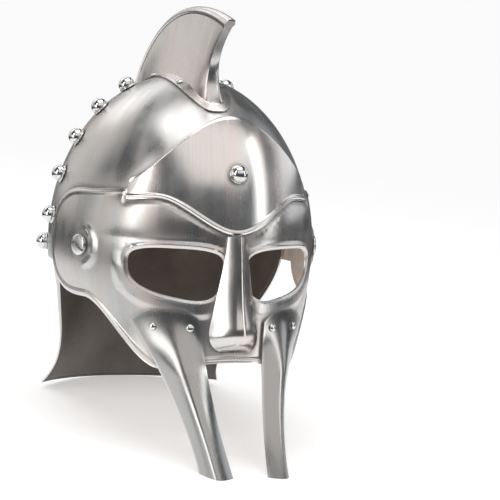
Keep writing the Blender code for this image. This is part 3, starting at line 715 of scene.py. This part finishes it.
    def tip_matrix(self):
        """Tips the worn frame back until the neck guard's rim is as low as the cheek guards' tips, stands it
        on the floor, and lines the skull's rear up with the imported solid's."""
        tip = self.cheek_point(1, 0.0, 1.0)
        rim_normal = normal_at(lambda a, d: self.neck_point(a, -d * self.s.rim_drop), 0.0, 1.0, -0.001)
        rim = self.neck_point(0.0, -self.s.rim_drop) - rim_normal * self.s.sheet
        tilt = math.atan2(rim[2] - tip[2], rim[1] - tip[1])
        self.turn = np.array(Matrix.Rotation(-tilt, 3, "X"))
        self.shift = np.zeros(3)
        self.shift[2] = -(self.turn @ rim)[2]
        self.shift[1] = REAR_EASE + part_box("skull")[1][1] - (self.skull(96, 48) @ self.turn.T)[..., 1].max()

    def place(self, points):
        """Points of the worn frame, where the tipped helmet has them."""
        return points @ self.turn.T + self.shift


def nearest(points, line):
    """Distance from each point of a grid to the nearest of the points along a line, row by row."""
    return np.stack([np.linalg.norm(row[:, None] - line[None], axis=-1).min(1) for row in points])


def close_to(points, line, reach, radius=0.0):
    """1 within a radius of the points along a line, and beyond it a bell curve of the distance, down to 0."""
    return np.exp(-((np.maximum(nearest(points, line) - radius, 0) / reach) ** 2))


def border(points):
    """The points along a grid's four sides."""
    return np.concatenate([points[0], points[-1], points[:, 0], points[:, -1]])


def grid_faces(rows, columns, loop):
    """Corner numbers of the faces between neighbouring points of a grid, and the corners' grid places."""
    row, column = np.meshgrid(np.arange(rows - 1), np.arange(columns if loop else columns - 1), indexing="ij")
    corner_rows = np.stack([row, row + 1, row + 1, row], -1)
    corner_columns = np.stack([column, column, column + 1, column + 1], -1)
    return corner_rows, corner_columns, corner_rows * columns + corner_columns % columns


def spans(points, axis, loop):
    """Running length along a grid, in metres, as the mean of its lines."""
    if loop:
        points = np.concatenate([points, points[:, :1]], 1)
    steps = np.linalg.norm(np.diff(points, axis=axis), axis=-1).mean(1 - axis)
    return np.concatenate([[0.0], np.cumsum(steps)])


def mesh_of(name, points, corners):
    """A mesh of points and of the faces between them, by their corner numbers."""
    mesh = bpy.data.meshes.new(name)
    mesh.from_pydata(points.reshape(-1, 3).tolist(), [], corners.reshape(-1, 4).tolist())
    return mesh


def shown(name, data):
    """A new object in the scene."""
    obj = bpy.data.objects.new(name, data)
    bpy.context.scene.collection.objects.link(obj)
    return obj


def grid_mesh(name, points, loop=False, keep=None, marks=None):
    """A piece's mesh over a grid of points, with its doubles merged and a UV map in metres: U across and V
    down. Marks are values from 0 to 1 for each point, by attribute name."""
    rows, columns = points.shape[:2]
    corner_rows, corner_columns, corners = grid_faces(rows, columns, loop)
    if keep is not None:
        corner_rows, corner_columns, corners = (a[keep] for a in (corner_rows, corner_columns, corners))
    mesh = mesh_of(name + "_dressed", points, corners)
    layer = mesh.uv_layers.new(name="along")
    across = spans(points, 1, loop)[corner_columns.reshape(-1)]
    down = spans(points, 0, False)[corner_rows.reshape(-1)]
    layer.data.foreach_set("uv", np.stack([across, down], -1).astype(np.float32).ravel())
    for attribute, values in (marks or {}).items():
        mark = mesh.attributes.new(attribute, "FLOAT", "POINT")
        mark.data.foreach_set("value", np.asarray(values, np.float32).ravel())
    body = bmesh.new()
    body.from_mesh(mesh)
    bmesh.ops.remove_doubles(body, verts=body.verts, dist=MERGE_DISTANCE)
    loose = [v for v in body.verts if not v.link_faces]
    bmesh.ops.delete(body, geom=loose, context="VERTS")
    body.to_mesh(mesh)
    body.free()
    return mesh


def add_piece(name, mesh, materials):
    """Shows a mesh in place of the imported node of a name."""
    for material in materials:
        mesh.materials.append(bpy.data.materials[material])
    mesh.shade_smooth()
    obj = shown(name + "_dressed", mesh)
    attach(obj, "root")
    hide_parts(name)
    return obj


def add_wall(obj, thickness):
    """Gives a sheet its wall inwards. The wall's inner side takes the second material."""
    solid = obj.modifiers.new("wall", "SOLIDIFY")
    solid.thickness = thickness
    solid.offset = -1
    solid.use_even_offset = True
    solid.material_offset = 1


def ease_edges(obj, width, segments=3, angle=math.radians(50)):
    """Rounds the sharp edges of a piece."""
    bevel = obj.modifiers.new("eased edges", "BEVEL")
    bevel.width = width
    bevel.segments = segments
    bevel.limit_method = "ANGLE"
    bevel.angle_limit = angle
    bevel.harden_normals = True


def settle(obj):
    """Makes a piece's modifiers part of its mesh."""
    shape = obj.evaluated_get(bpy.context.evaluated_depsgraph_get())
    mesh = bpy.data.meshes.new_from_object(shape)
    old = obj.data
    obj.modifiers.clear()
    obj.data = mesh
    bpy.data.meshes.remove(old)


def trim_flat(obj):
    """Cuts a closed piece off flat at the floor and closes the cut."""
    body = bmesh.new()
    body.from_mesh(obj.data)
    geometry = body.verts[:] + body.edges[:] + body.faces[:]
    found = bmesh.ops.bisect_plane(
        body, geom=geometry, dist=1e-6, plane_co=(0, 0, 0), plane_no=(0, 0, -1), clear_outer=True
    )
    rim = [edge for edge in found["geom_cut"] if isinstance(edge, bmesh.types.BMEdge) and edge.is_boundary]
    bmesh.ops.holes_fill(body, edges=rim, sides=0)
    bmesh.ops.recalc_face_normals(body, faces=body.faces)
    body.to_mesh(obj.data)
    body.free()


def add_sheet(form, name, points, rims, marks=(), kind=None, sheet=None, edge=EDGE_ROUND, cut=False, **grid):
    """A sheet-metal piece from a grid of points in the worn frame, with bright wear and a painted highlight
    beside the points of its rims, and cut off flat at the floor if asked."""
    slot, polish, *_, wear_and_highlight_reach = SHEETS[kind or name]
    # The edge mark lightens the rims: wear, and a painted highlight
    marks = {**dict(marks), "edge": close_to(points, rims, wear_and_highlight_reach)}
    mesh = grid_mesh(name, form.place(points), marks=marks, **grid)
    # The inner sides take painted light, and the neck guard's inner side painted shade
    inside = "dull_neck_inside_painted_shade" if name == "neck_guard" else "dull_inside_painted_light"
    obj = add_piece(name, mesh, [f"{slot}_{polish}", inside])
    add_wall(obj, sheet or form.s.sheet)
    if cut:
        settle(obj)
        trim_flat(obj)
    ease_edges(obj, edge)


def axes_along(normal):
    """Two directions across a normal and the normal itself, as a 3 by 3 array of rows."""
    side = unit(np.cross([0.0, 0.0, 1.0], normal)) if abs(normal[2]) < 0.999 else np.array([1.0, 0.0, 0.0])
    return np.stack([side, np.cross(normal, side), normal])


def lathe(profile, segments):
    """A closed turned form: each radius and height of a profile, taken once round the axis."""
    turn = np.linspace(0, 2 * math.pi, segments, endpoint=False)
    radius, height = profile[:, :1], profile[:, 1:]
    return np.stack([radius * np.cos(turn), radius * np.sin(turn), height + 0 * turn], -1)


def arc(centre, radii, first, last, count):
    """Radius and height along part of an ellipse."""
    turn = np.linspace(math.radians(first), math.radians(last), count)
    return np.stack([centre[0] + radii[0] * np.cos(turn), centre[1] + radii[1] * np.sin(turn)], -1)


def stud_profile(radius, height):
    """From the crown of a domed head down to a neck, then out over a thin round base."""
    base, foot = STUD_BASE * height, STUD_DOME_FOOT * height
    neck, wide = STUD_NECK * radius, STUD_DOME * radius
    dome = arc((0, foot), (wide, height - foot), 90, 0, 15)
    under = arc((neck, foot), (wide - neck, STUD_UNDERCUT * height), 0, -90, 5)[1:]
    flange = arc((radius - base / 2, base / 2), (base / 2, base / 2), 90, -90, 9)
    return np.concatenate([dome, under, flange, [(0.0, 0.0)]])


def rivet_profile(radius, height):
    """A low domed rivet with a soft edge."""
    edge = RIVET_EDGE * height
    dome = arc((0, edge), (radius, height - edge), 90, 0, 9)
    return np.concatenate([dome, arc((radius - edge, edge), (edge, edge), 0, -90, 4)[1:], [(0.0, 0.0)]])


def add_turned(form, name, head, seat, normal, slot):
    """A head of bright steel that stands on a surface along its normal."""
    points = head @ axes_along(normal) + (seat + normal * SEAT_GAP)
    material = "screw_steel_turned" if slot == "screw_steel" else "stud_steel_turned"
    return add_piece(name, grid_mesh(name, form.place(points), loop=True), [material])


def screw_points(radius, height, slot_width, slot_depth, rows=18, chord=25):
    """A slotted domed head: closed loops across it, from one side to the other, each over the head's top
    and back under its base. Where the loops cross the slot, their top lies at the slot's floor."""
    half_slot = slot_width / 2
    steps = half_slot + (radius - half_slot) * np.sin(np.linspace(0, math.pi / 2, rows))
    inner = np.array([half_slot, half_slot * SCREW_SLOT_WALL, 0.0])
    place = np.concatenate([-steps[::-1], -inner[:2], [0.0], inner[1::-1], steps])
    in_slot = np.concatenate([np.zeros(rows, bool), np.ones(5, bool), np.zeros(rows, bool)])
    part = np.sin(np.linspace(-math.pi / 2, math.pi / 2, chord))
    y = np.sqrt(np.clip(radius**2 - place**2, 0, None))[:, None] * part
    from_axis = np.sqrt(place[:, None] ** 2 + y**2) / radius
    edge = height - slot_depth
    dome = edge + (height - edge) * np.sqrt(np.clip(1 - from_axis**2, 0, 1)) ** SCREW_DOME_POWER
    top = np.where(in_slot[:, None], edge, dome)
    x = np.broadcast_to(place[:, None], y.shape)
    over = np.stack([x, y, top], -1)
    under = np.stack([x, y, np.zeros_like(y)], -1)[:, ::-1]
    return np.concatenate([over, under], 1)


def opaque(color):
    """A colour with full alpha, as a colour socket takes it."""
    return (*color, 1.0)


def scaled(color, tone):
    """A colour made darker or lighter."""
    return tuple(c * tone for c in color)


def fill(tree, made, sockets):
    """Sets a node's sockets, by name or number, each to a value or to another node's output."""
    for key, value in sockets.items():
        if isinstance(value, bpy.types.NodeSocket):
            tree.links.new(value, made.inputs[key])
        else:
            made.inputs[key].default_value = value


def node(tree, kind, sockets, **settings):
    """A shader node with its settings and its sockets."""
    made = tree.nodes.new(kind)
    for key, value in settings.items():
        setattr(made, key, value)
    fill(tree, made, sockets)
    return made


def new_material(name):
    """A node material, its nodes and links, and its Principled shader."""
    material = bpy.data.materials.new(name)
    material.use_nodes = True
    return material, material.node_tree, material.node_tree.nodes["Principled BSDF"]


def place_of(tree):
    """Place on the object, in metres."""
    return node(tree, "ShaderNodeTexCoord", {}).outputs["Object"]


def along_of(tree):
    """Place along the grid that the piece was made from, in metres."""
    return node(tree, "ShaderNodeUVMap", {}, uv_map="along").outputs["UV"]


def mark_of(tree, mark):
    """A mark of the mesh, from 0 to 1."""
    return node(tree, "ShaderNodeAttribute", {}, attribute_name=mark).outputs["Fac"]


def noise(tree, vector, scale, detail=2.0, roughness=0.5):
    """Fractal noise over a stretched copy of the coordinates."""
    stretched = node(tree, "ShaderNodeMapping", {"Vector": vector, "Scale": scale}).outputs["Vector"]
    sockets = {"Vector": stretched, "Scale": 1.0, "Detail": detail, "Roughness": roughness}
    return node(tree, "ShaderNodeTexNoise", sockets).outputs["Fac"]


def remap(tree, value, low, high, to_low, to_high):
    """Maps a range of values onto another, held at its ends."""
    sockets = {"Value": value, "From Min": low, "From Max": high, "To Min": to_low, "To Max": to_high}
    return node(tree, "ShaderNodeMapRange", sockets, clamp=True).outputs["Result"]


def blend_colors(tree, factor, first, second):
    """Mixes two colours, each an RGB value or a socket, by the Mix node's colour sockets 6 and 7."""
    first, second = (c if isinstance(c, bpy.types.NodeSocket) else opaque(c) for c in (first, second))
    return node(tree, "ShaderNodeMix", {"Factor": factor, 6: first, 7: second}, data_type="RGBA").outputs[2]


def add_values(tree, first, second, operation="ADD"):
    """Sum or product of two values."""
    return node(tree, "ShaderNodeMath", {0: first, 1: second}, operation=operation).outputs[0]


def add_bump(tree, shader, *layers):
    """Bumps the shader's normal by several heights, each with its own depth in metres."""
    normal = {}
    for height, depth in layers:
        bump = node(tree, "ShaderNodeBump", {"Strength": 1.0, "Distance": depth, "Height": height, **normal})
        normal = {"Normal": bump.outputs["Normal"]}
    fill(tree, shader, normal)


def buffed_steel(name, finish, tone, roughness, warmth, grain):
    """Buffed sheet steel: fine brushing along V, soft warm and cool bands, shallow waves from the hammer,
    dull smudges, edges lightened by wear and a painted highlight, and grime and painted shade beside the
    pieces that sit on it."""
    _, tree, shader = new_material(name)
    along, place = along_of(tree), place_of(tree)
    edge, grime_and_shade = mark_of(tree, "edge"), mark_of(tree, "grime_and_shade")
    brushing = noise(tree, along, (1500, 30, 1))
    lines = noise(tree, along, (380, 5, 1), 1.0)
    bands = noise(tree, along, (60, 3, 1), 1.0)
    clouds = noise(tree, place, (13, 13, 13), 1.0)
    smudges = noise(tree, place, (42, 42, 42), 3.0)
    waves = noise(tree, place, (24, 24, 24), 0.0)
    tint = remap(tree, add_values(tree, bands, clouds), 0.8, 1.2, 0.0, warmth)
    # The tone paints light and shade: it makes this piece's copy of the steel lighter or darker
    steel = blend_colors(tree, tint, scaled(finish.steel, tone), scaled(finish.warm, tone))
    dulled = remap(tree, add_values(tree, smudges, lines), 0.7, 1.3, 0.10, 0.0)
    steel = blend_colors(tree, dulled, steel, (0.34, 0.33, 0.32))
    patchy = remap(tree, smudges, 0.3, 0.65, 0.35, 0.85)
    # Darkens the steel beside seams and heads: grime, and painted shade where shade falls between the parts
    steel = blend_colors(tree, add_values(tree, grime_and_shade, patchy, "MULTIPLY"), steel, finish.grime_and_shade)
    # Lightens the steel along the rims: wear, and a painted highlight
    steel = blend_colors(tree, remap(tree, edge, 0.0, 1.0, 0.0, 0.6), steel, (0.86, 0.85, 0.84))
    low = finish.roughness * roughness
    dull = remap(tree, add_values(tree, smudges, bands), 0.75, 1.25, low * 0.82, low * 1.25)
    fine = remap(tree, brushing, 0.3, 0.7, 0.0, 0.04)
    # Rougher where the grime and painted shade mark lies
    grime_and_shade_roughness = remap(tree, grime_and_shade, 0.0, 1.0, 0.0, 0.25)
    rough = add_values(tree, add_values(tree, dull, fine), grime_and_shade_roughness)
    tangent = node(tree, "ShaderNodeTangent", {}, direction_type="UV_MAP", uv_map="along").outputs["Tangent"]
    fill(tree, shader, {"Base Color": steel, "Metallic": 1.0, "Roughness": rough})
    fill(tree, shader, {"Anisotropic": 0.35, "Tangent": tangent})
    add_bump(tree, shader, (waves, 0.00022), (lines, 0.000006 * grain), (brushing, 0.0000025 * grain))


def raw_inside(name, finish, tone):
    """The unpolished inner side: dull brown-grey steel with darker blotches and a slight grain."""
    _, tree, shader = new_material(name)
    place = place_of(tree)
    blotches = noise(tree, place, (20, 20, 20), 4.0, 0.55)
    grain = noise(tree, place, (420, 420, 420), 3.0, 0.6)
    spread = remap(tree, blotches, 0.30, 0.70, 0.0, 1.0)
    # The tone scales this colour: up as painted light in the helmet's shaded inside, down as painted shade on
    # the neck guard's inside
    steel = blend_colors(tree, spread, scaled(finish.inside, tone * 0.72), scaled(finish.inside, tone * 1.28))
    rough = remap(tree, grain, 0.3, 0.7, 0.42, 0.60)
    fill(tree, shader, {"Base Color": steel, "Metallic": 0.1, "Roughness": rough})
    add_bump(tree, shader, (blotches, 0.0003), (grain, 0.00005))


def turned_steel(name, finish, roughness):
    """Bright turned steel: rings round the head from the lathe, and faint smudges."""
    _, tree, shader = new_material(name)
    rings = noise(tree, along_of(tree), (20, 2600, 1))
    smudges = noise(tree, place_of(tree), (240, 240, 240), 3.0)
    tint = remap(tree, smudges, 0.35, 0.65, 0.0, 1.0)
    steel = blend_colors(tree, tint, scaled(finish.stud, 0.86), tuple(finish.stud))
    rough = remap(tree, smudges, 0.3, 0.7, roughness * 0.8, roughness * 1.5)
    fill(tree, shader, {"Base Color": steel, "Metallic": 1.0, "Roughness": rough})
    add_bump(tree, shader, (rings, 0.000004))


def start(context):
    """The helmet's surfaces from the scene's sizes, after its materials were made once."""
    finish = context.scene.helmet_finish
    if "skull_steel_buffed" not in bpy.data.materials:
        for slot, polish, *look, _ in SHEETS.values():
            buffed_steel(f"{slot}_{polish}", finish, *look)
        for name, tone in INSIDES.items():
            raw_inside(name, finish, tone)
        for name, roughness in TURNED.items():
            turned_steel(name, finish, roughness)
    return Form(context.scene.helmet_sizes)


class HELMET_OT_skull(bpy.types.Operator):
    """Builds the domed skull"""

    bl_idname = "helmet.skull"
    bl_label = "Skull"

    def execute(self, context):
        form = start(context)
        points = form.skull()
        flange = form.crest_side(np.linspace(0, 1, 120), -1.0)
        lobe = form.off_wall(*form.lobe_line(), 0.0)
        brow = form.brow_seat(np.linspace(-1, 1, 160), 0.0)
        seams = np.concatenate([flange, flange * MIRROR, brow, lobe, lobe * MIRROR])
        crown = np.stack([form.crown_seat(turn, 0) for turn in CROWN_STUD_TURNS])
        heads = np.concatenate([crown, crown * MIRROR, form.seam_seats()])
        # Grime and painted shade beside the seams and round the stud heads
        beside_heads = close_to(points, heads, HEAD_GRIME_AND_SHADE, form.s.stud_radius)
        grime_and_shade = np.maximum(close_to(points, seams, SKULL_GRIME_AND_SHADE), beside_heads)
        add_sheet(form, "skull", points, points[-1], {"grime_and_shade": grime_and_shade}, loop=True)
        return {"FINISHED"}


class HELMET_OT_neck_guard(bpy.types.Operator):
    """Builds the waisted and flared neck guard"""

    bl_idname = "helmet.neck_guard"
    bl_label = "Neck guard"

    def execute(self, context):
        form = start(context)
        points = form.neck_guard()
        across = np.linspace(math.pi - NECK_SPAN, math.pi + NECK_SPAN, 160)
        # Grime and painted shade along the seam where the neck guard tucks under the skull
        grime_and_shade = close_to(points, form.off_wall(across, -SKULL_REAR_DROP, 0.0), NECK_GRIME_AND_SHADE)
        add_sheet(form, "neck_guard", points, border(points), {"grime_and_shade": grime_and_shade})
        return {"FINISHED"}


class HELMET_OT_face_guard(bpy.types.Operator):
    """Builds the face guard with its two eye openings"""

    bl_idname = "helmet.face_guard"
    bl_label = "Face guard"

    def execute(self, context):
        form = start(context)
        points, keep = form.face_guard()
        eye = form.off_wall(*form.eye_outline(), form.face_out)
        rims = np.concatenate([border(points), eye, eye * MIRROR])
        screws = np.stack([form.off_wall(side * EAR_ANGLE, 0.0, form.face_out) for side, _ in SIDES])
        # Grime and painted shade beside the mounted pieces and round the ear screws
        beside_screws = close_to(points, screws, HEAD_GRIME_AND_SHADE, SCREW_RADIUS)
        grime_and_shade = np.maximum(close_to(points, form.mounted_outlines(), FACE_GRIME_AND_SHADE), beside_screws)
        add_sheet(form, "face_guard", points, rims, {"grime_and_shade": grime_and_shade}, keep=keep)
        return {"FINISHED"}


class HELMET_OT_brow_plate(bpy.types.Operator):
    """Builds the raised brow plate"""

    bl_idname = "helmet.brow_plate"
    bl_label = "Brow plate"

    def execute(self, context):
        form = start(context)
        points = form.brow_plate()
        rims = np.concatenate([border(points), form.brow_point(np.linspace(-1, 1, 160), 0.0)])
        stud = form.brow_point(0.0, BROW_STUD_PLACE)[None]
        # Grime and painted shade round the brow stud
        grime_and_shade = close_to(points, stud, BROW_GRIME_AND_SHADE, form.s.stud_radius)
        add_sheet(form, "brow_plate", points, rims, {"grime_and_shade": grime_and_shade})
        return {"FINISHED"}


class HELMET_OT_nasal(bpy.types.Operator):
    """Builds the hollow nose piece"""

    bl_idname = "helmet.nasal"
    bl_label = "Nasal"

    def execute(self, context):
        form = start(context)
        points = form.nasal()
        add_sheet(form, "nasal", points, border(points))
        return {"FINISHED"}


class HELMET_OT_cheek_guards(bpy.types.Operator):
    """Builds both cheek guards and trims their tips flat"""

    bl_idname = "helmet.cheek_guards"
    bl_label = "Cheek guards"

    def execute(self, context):
        form = start(context)
        across, down = np.meshgrid(2 * close_ends(49) - 1, np.linspace(0, CHEEK_OVERRUN, 150))
        looks = {"kind": "cheek_guard", "sheet": CHEEK_SHEET, "edge": CHEEK_ROUND, "cut": True}
        for side, word in SIDES:
            points = form.cheek_point(side, across, down)
            add_sheet(form, "cheek_guard_" + word, points, border(points), **looks)
        return {"FINISHED"}


class HELMET_OT_crest(bpy.types.Operator):
    """Builds the hollow crest with its flange"""

    bl_idname = "helmet.crest"
    bl_label = "Crest"

    def execute(self, context):
        form = start(context)
        points = form.crest()
        rim = form.crest_side(np.linspace(0, 1, 160), 1.0)
        rims = np.concatenate([rim, rim * MIRROR, points[-1]])
        add_sheet(form, "crest", points, rims, sheet=CREST_SHEET, edge=CREST_ROUND, loop=True)
        return {"FINISHED"}


class HELMET_OT_studs(bpy.types.Operator):
    """Builds the studs over the crown, along the neck guard's seam and on the brow"""

    bl_idname = "helmet.studs"
    bl_label = "Studs"

    def execute(self, context):
        form = start(context)
        head = lathe(stud_profile(form.s.stud_radius, form.s.stud_height), 48)
        places = {}
        for side, word in SIDES:
            flip = np.array([side, 1, 1])
            for i, turn in enumerate(CROWN_STUD_TURNS):
                seat = form.crown_seat(turn, 0)
                normal = unit(form.crown_seat(turn, form.s.stud_height) - seat)
                places[f"crown_stud_{word}_{i + 1}"] = (seat * flip, normal * flip)
        for i, seat in enumerate(form.seam_seats()):
            places[f"seam_stud_{i + 1}"] = (seat, form.wall_normal(SEAM_STUD_TURNS[i], SEAM_STUD_RISE))
        brow = (0.0, BROW_STUD_PLACE)
        places["brow_stud"] = (form.brow_point(*brow), normal_at(form.brow_point, *brow))
        for name, (seat, normal) in places.items():
            add_turned(form, name, head, seat, normal, "stud_steel")
        return {"FINISHED"}


class HELMET_OT_rivets(bpy.types.Operator):
    """Builds the rivets on the crest's flange and on the cheek guards"""

    bl_idname = "helmet.rivets"
    bl_label = "Rivets"

    def execute(self, context):
        form = start(context)
        head = lathe(rivet_profile(RIVET_RADIUS, RIVET_HEIGHT), 24)
        flange = [(CREST_RIVET_RISE, 1 - along) for along in CREST_RIVET_SHARES]
        rows = (
            ("crest", lambda rise, back: form.crest_side(1 - back, rise), flange),
            ("cheek", lambda across, down: form.cheek_point(1, across, down), CHEEK_RIVET_PLACES),
        )
        for side, word in SIDES:
            flip = np.array([side, 1, 1])
            for kind, surface, places in rows:
                for i, place in enumerate(places):
                    seat, normal = surface(*place) * flip, normal_at(surface, *place) * flip
                    add_turned(form, f"{kind}_rivet_{word}_{i + 1}", head, seat, normal, "rivet_steel")
        return {"FINISHED"}


class HELMET_OT_ear_screws(bpy.types.Operator):
    """Builds the two slotted screws at the ears"""

    bl_idname = "helmet.ear_screws"
    bl_label = "Ear screws"

    def execute(self, context):
        form = start(context)
        head = screw_points(SCREW_RADIUS, SCREW_HEIGHT, SCREW_SLOT_WIDTH, SCREW_SLOT_DEPTH)
        head = head @ np.array(Matrix.Rotation(SCREW_SLOT_TURN, 3, "Z")).T
        for side, word in SIDES:
            seat = form.off_wall(side * EAR_ANGLE, 0.0, form.face_out)
            normal = form.wall_normal(side * EAR_ANGLE, 0.0)
            obj = add_turned(form, "ear_screw_" + word, head, seat, normal, "screw_steel")
            ease_edges(obj, SCREW_ROUND, 2)
        return {"FINISHED"}


def add_light(name, turn, lift, distance, size, radiance, tint):
    """A soft light on a frame: at a turn from the front and a lift above the floor, facing the helmet. Its
    power is pi times its area times the radiance that the steel reflects."""
    light = bpy.data.lights.new(name, "AREA")
    light.shape = "RECTANGLE"
    light.size, light.size_y = size
    light.energy = math.pi * size[0] * size[1] * radiance
    light.color = tint
    turn, lift = math.radians(turn), math.radians(lift)
    out = Vector((math.sin(turn) * math.cos(lift), -math.cos(turn) * math.cos(lift), math.sin(lift)))
    obj = shown(name, light)
    obj.location = Vector(LIGHT_AIM) + out * distance
    obj.rotation_euler = (-out).to_track_quat("-Z", "Y").to_euler()


def add_stage_mesh(name, points, material):
    """A smooth mesh of the stage over a grid of points."""
    mesh = mesh_of(name, points, grid_faces(*points.shape[:2], False)[2])
    mesh.shade_smooth()
    mesh.materials.append(material)
    obj = shown(name, mesh)
    return obj


def floor_surface(stage):
    """Matt pale floor that takes the helmet's shadow, lit up evenly further out, where it runs into the
    backdrop."""
    material, tree, shader = new_material("floor")
    pale = opaque(stage.backdrop)
    fill(tree, shader, {"Base Color": opaque(stage.floor), "Roughness": 0.9, "Specular IOR Level": 0.1})
    fill(tree, shader, {"Emission Color": pale, "Emission Strength": stage.floor_glow})
    glow = node(tree, "ShaderNodeEmission", {"Color": pale}).outputs["Emission"]
    reach = node(tree, "ShaderNodeVectorMath", {0: place_of(tree)}, operation="LENGTH").outputs["Value"]
    outwards = remap(tree, reach, 0.30, 1.40, 0.0, 1.0)
    blend = node(tree, "ShaderNodeMixShader", {"Fac": outwards, 1: shader.outputs["BSDF"], 2: glow})
    fill(tree, tree.nodes["Material Output"], {"Surface": blend.outputs["Shader"]})
    return material


def backdrop_surface(stage):
    """Evenly glowing backdrop."""
    material, tree, shader = new_material("backdrop")
    fill(tree, shader, {"Base Color": opaque((0.0, 0.0, 0.0)), "Specular IOR Level": 0.0})
    fill(tree, shader, {"Emission Color": opaque(stage.backdrop), "Emission Strength": 1.0})
    return material


class HELMET_OT_stage(bpy.types.Operator):
    """Sets up the floor, the backdrop, the lights and the camera"""

    bl_idname = "helmet.stage"
    bl_label = "Stage"

    def execute(self, context):
        stage = context.scene.helmet_stage
        turn = np.linspace(0, 2 * math.pi, STAGE_COLUMNS)
        surface = floor_surface(stage)
        for name, first, last in (("floor", 0.0, NEAR_FLOOR), ("far_floor", NEAR_FLOOR, FAR_FLOOR)):
            reach = np.linspace(first, last, 9)[:, None]
            ring = np.stack([reach * np.cos(turn), reach * np.sin(turn), 0 * reach * turn], -1)
            add_stage_mesh(name, ring, surface).visible_glossy = name == "floor"
        lift = np.linspace(BACKDROP_FOOT, math.pi / 2, 25)[:, None]
        level, rise = BACKDROP_REACH * np.cos(lift), BACKDROP_REACH * np.sin(lift)
        dome = np.stack([level * np.cos(turn), level * np.sin(turn), rise + 0 * turn], -1)
        backdrop = add_stage_mesh("backdrop", dome, backdrop_surface(stage))
        backdrop.visible_diffuse = False
        backdrop.visible_glossy = False
        backdrop.visible_shadow = False
        world = bpy.data.worlds.new("studio")
        world.use_nodes = True
        world.node_tree.nodes["Background"].inputs["Color"].default_value = opaque(stage.room)
        context.scene.world = world
        context.scene.view_settings.view_transform = "Standard"
        for light in LIGHTS:
            add_light(*light)
        add_camera(start(context))
        return {"FINISHED"}


def add_camera(form):
    """The camera at the photograph's angle to the helmet, tipped back with it."""
    a, e, r = CAMERA_AZIMUTH, CAMERA_ELEVATION, CAMERA_ROLL
    back = np.array([math.sin(a) * math.cos(e), -math.cos(a) * math.cos(e), math.sin(e)])
    level = np.array([math.cos(a), math.sin(a), 0.0])
    upright = np.cross(back, level)
    right = level * math.cos(r) + upright * math.sin(r)
    up = upright * math.cos(r) - level * math.sin(r)
    aim = np.array(AIM_POINT) + right * AIM_RIGHT - up * AIM_DOWN
    axes = np.stack([right, up, back], 1)
    data = bpy.data.cameras.new("camera")
    data.sensor_width = SENSOR_WIDTH
    data.lens = PIXELS_PER_METRE * CAMERA_DISTANCE * SENSOR_WIDTH / FRAME_PIXELS
    data.clip_start, data.clip_end = 0.05, 30
    matrix = Matrix(form.turn @ axes).to_4x4()
    matrix.translation = Vector(form.place(aim + back * CAMERA_DISTANCE))
    camera = shown("camera", data)
    camera.matrix_world = matrix
    bpy.context.scene.camera = camera


class HELMET_PT_panel(bpy.types.Panel):
    """Lists the helmet's pieces, sizes and finishes"""

    bl_idname = "HELMET_PT_panel"
    bl_label = "Gladiator helmet"
    bl_space_type = "VIEW_3D"
    bl_region_type = "UI"
    bl_category = "Helmet"

    def draw(self, context):
        layout = self.layout
        for made in PIECES:
            layout.operator(made.bl_idname)
        for group in (context.scene.helmet_sizes, context.scene.helmet_finish, context.scene.helmet_stage):
            box = layout.box()
            for name in group.bl_rna.properties.keys():
                if name not in ("rna_type", "name"):
                    box.prop(group, name)


PIECES = (
    HELMET_OT_skull,
    HELMET_OT_neck_guard,
    HELMET_OT_face_guard,
    HELMET_OT_brow_plate,
    HELMET_OT_nasal,
    HELMET_OT_cheek_guards,
    HELMET_OT_crest,
    HELMET_OT_studs,
    HELMET_OT_rivets,
    HELMET_OT_ear_screws,
    HELMET_OT_stage,
)
GROUPS = (("helmet_sizes", HelmetSizes), ("helmet_finish", HelmetFinish), ("helmet_stage", HelmetStage))


def register():
    for name, group in GROUPS:
        bpy.utils.register_class(group)
        setattr(bpy.types.Scene, name, bpy.props.PointerProperty(type=group))
    for made in (*PIECES, HELMET_PT_panel):
        bpy.utils.register_class(made)


def unregister():
    for made in reversed((*PIECES, HELMET_PT_panel)):
        bpy.utils.unregister_class(made)
    for name, group in reversed(GROUPS):
        delattr(bpy.types.Scene, name)
        bpy.utils.unregister_class(group)


def main():
    register()
    for made in PIECES:
        group, name = made.bl_idname.split(".")
        getattr(getattr(bpy.ops, group), name)()


if __name__ == "__main__":
    main()
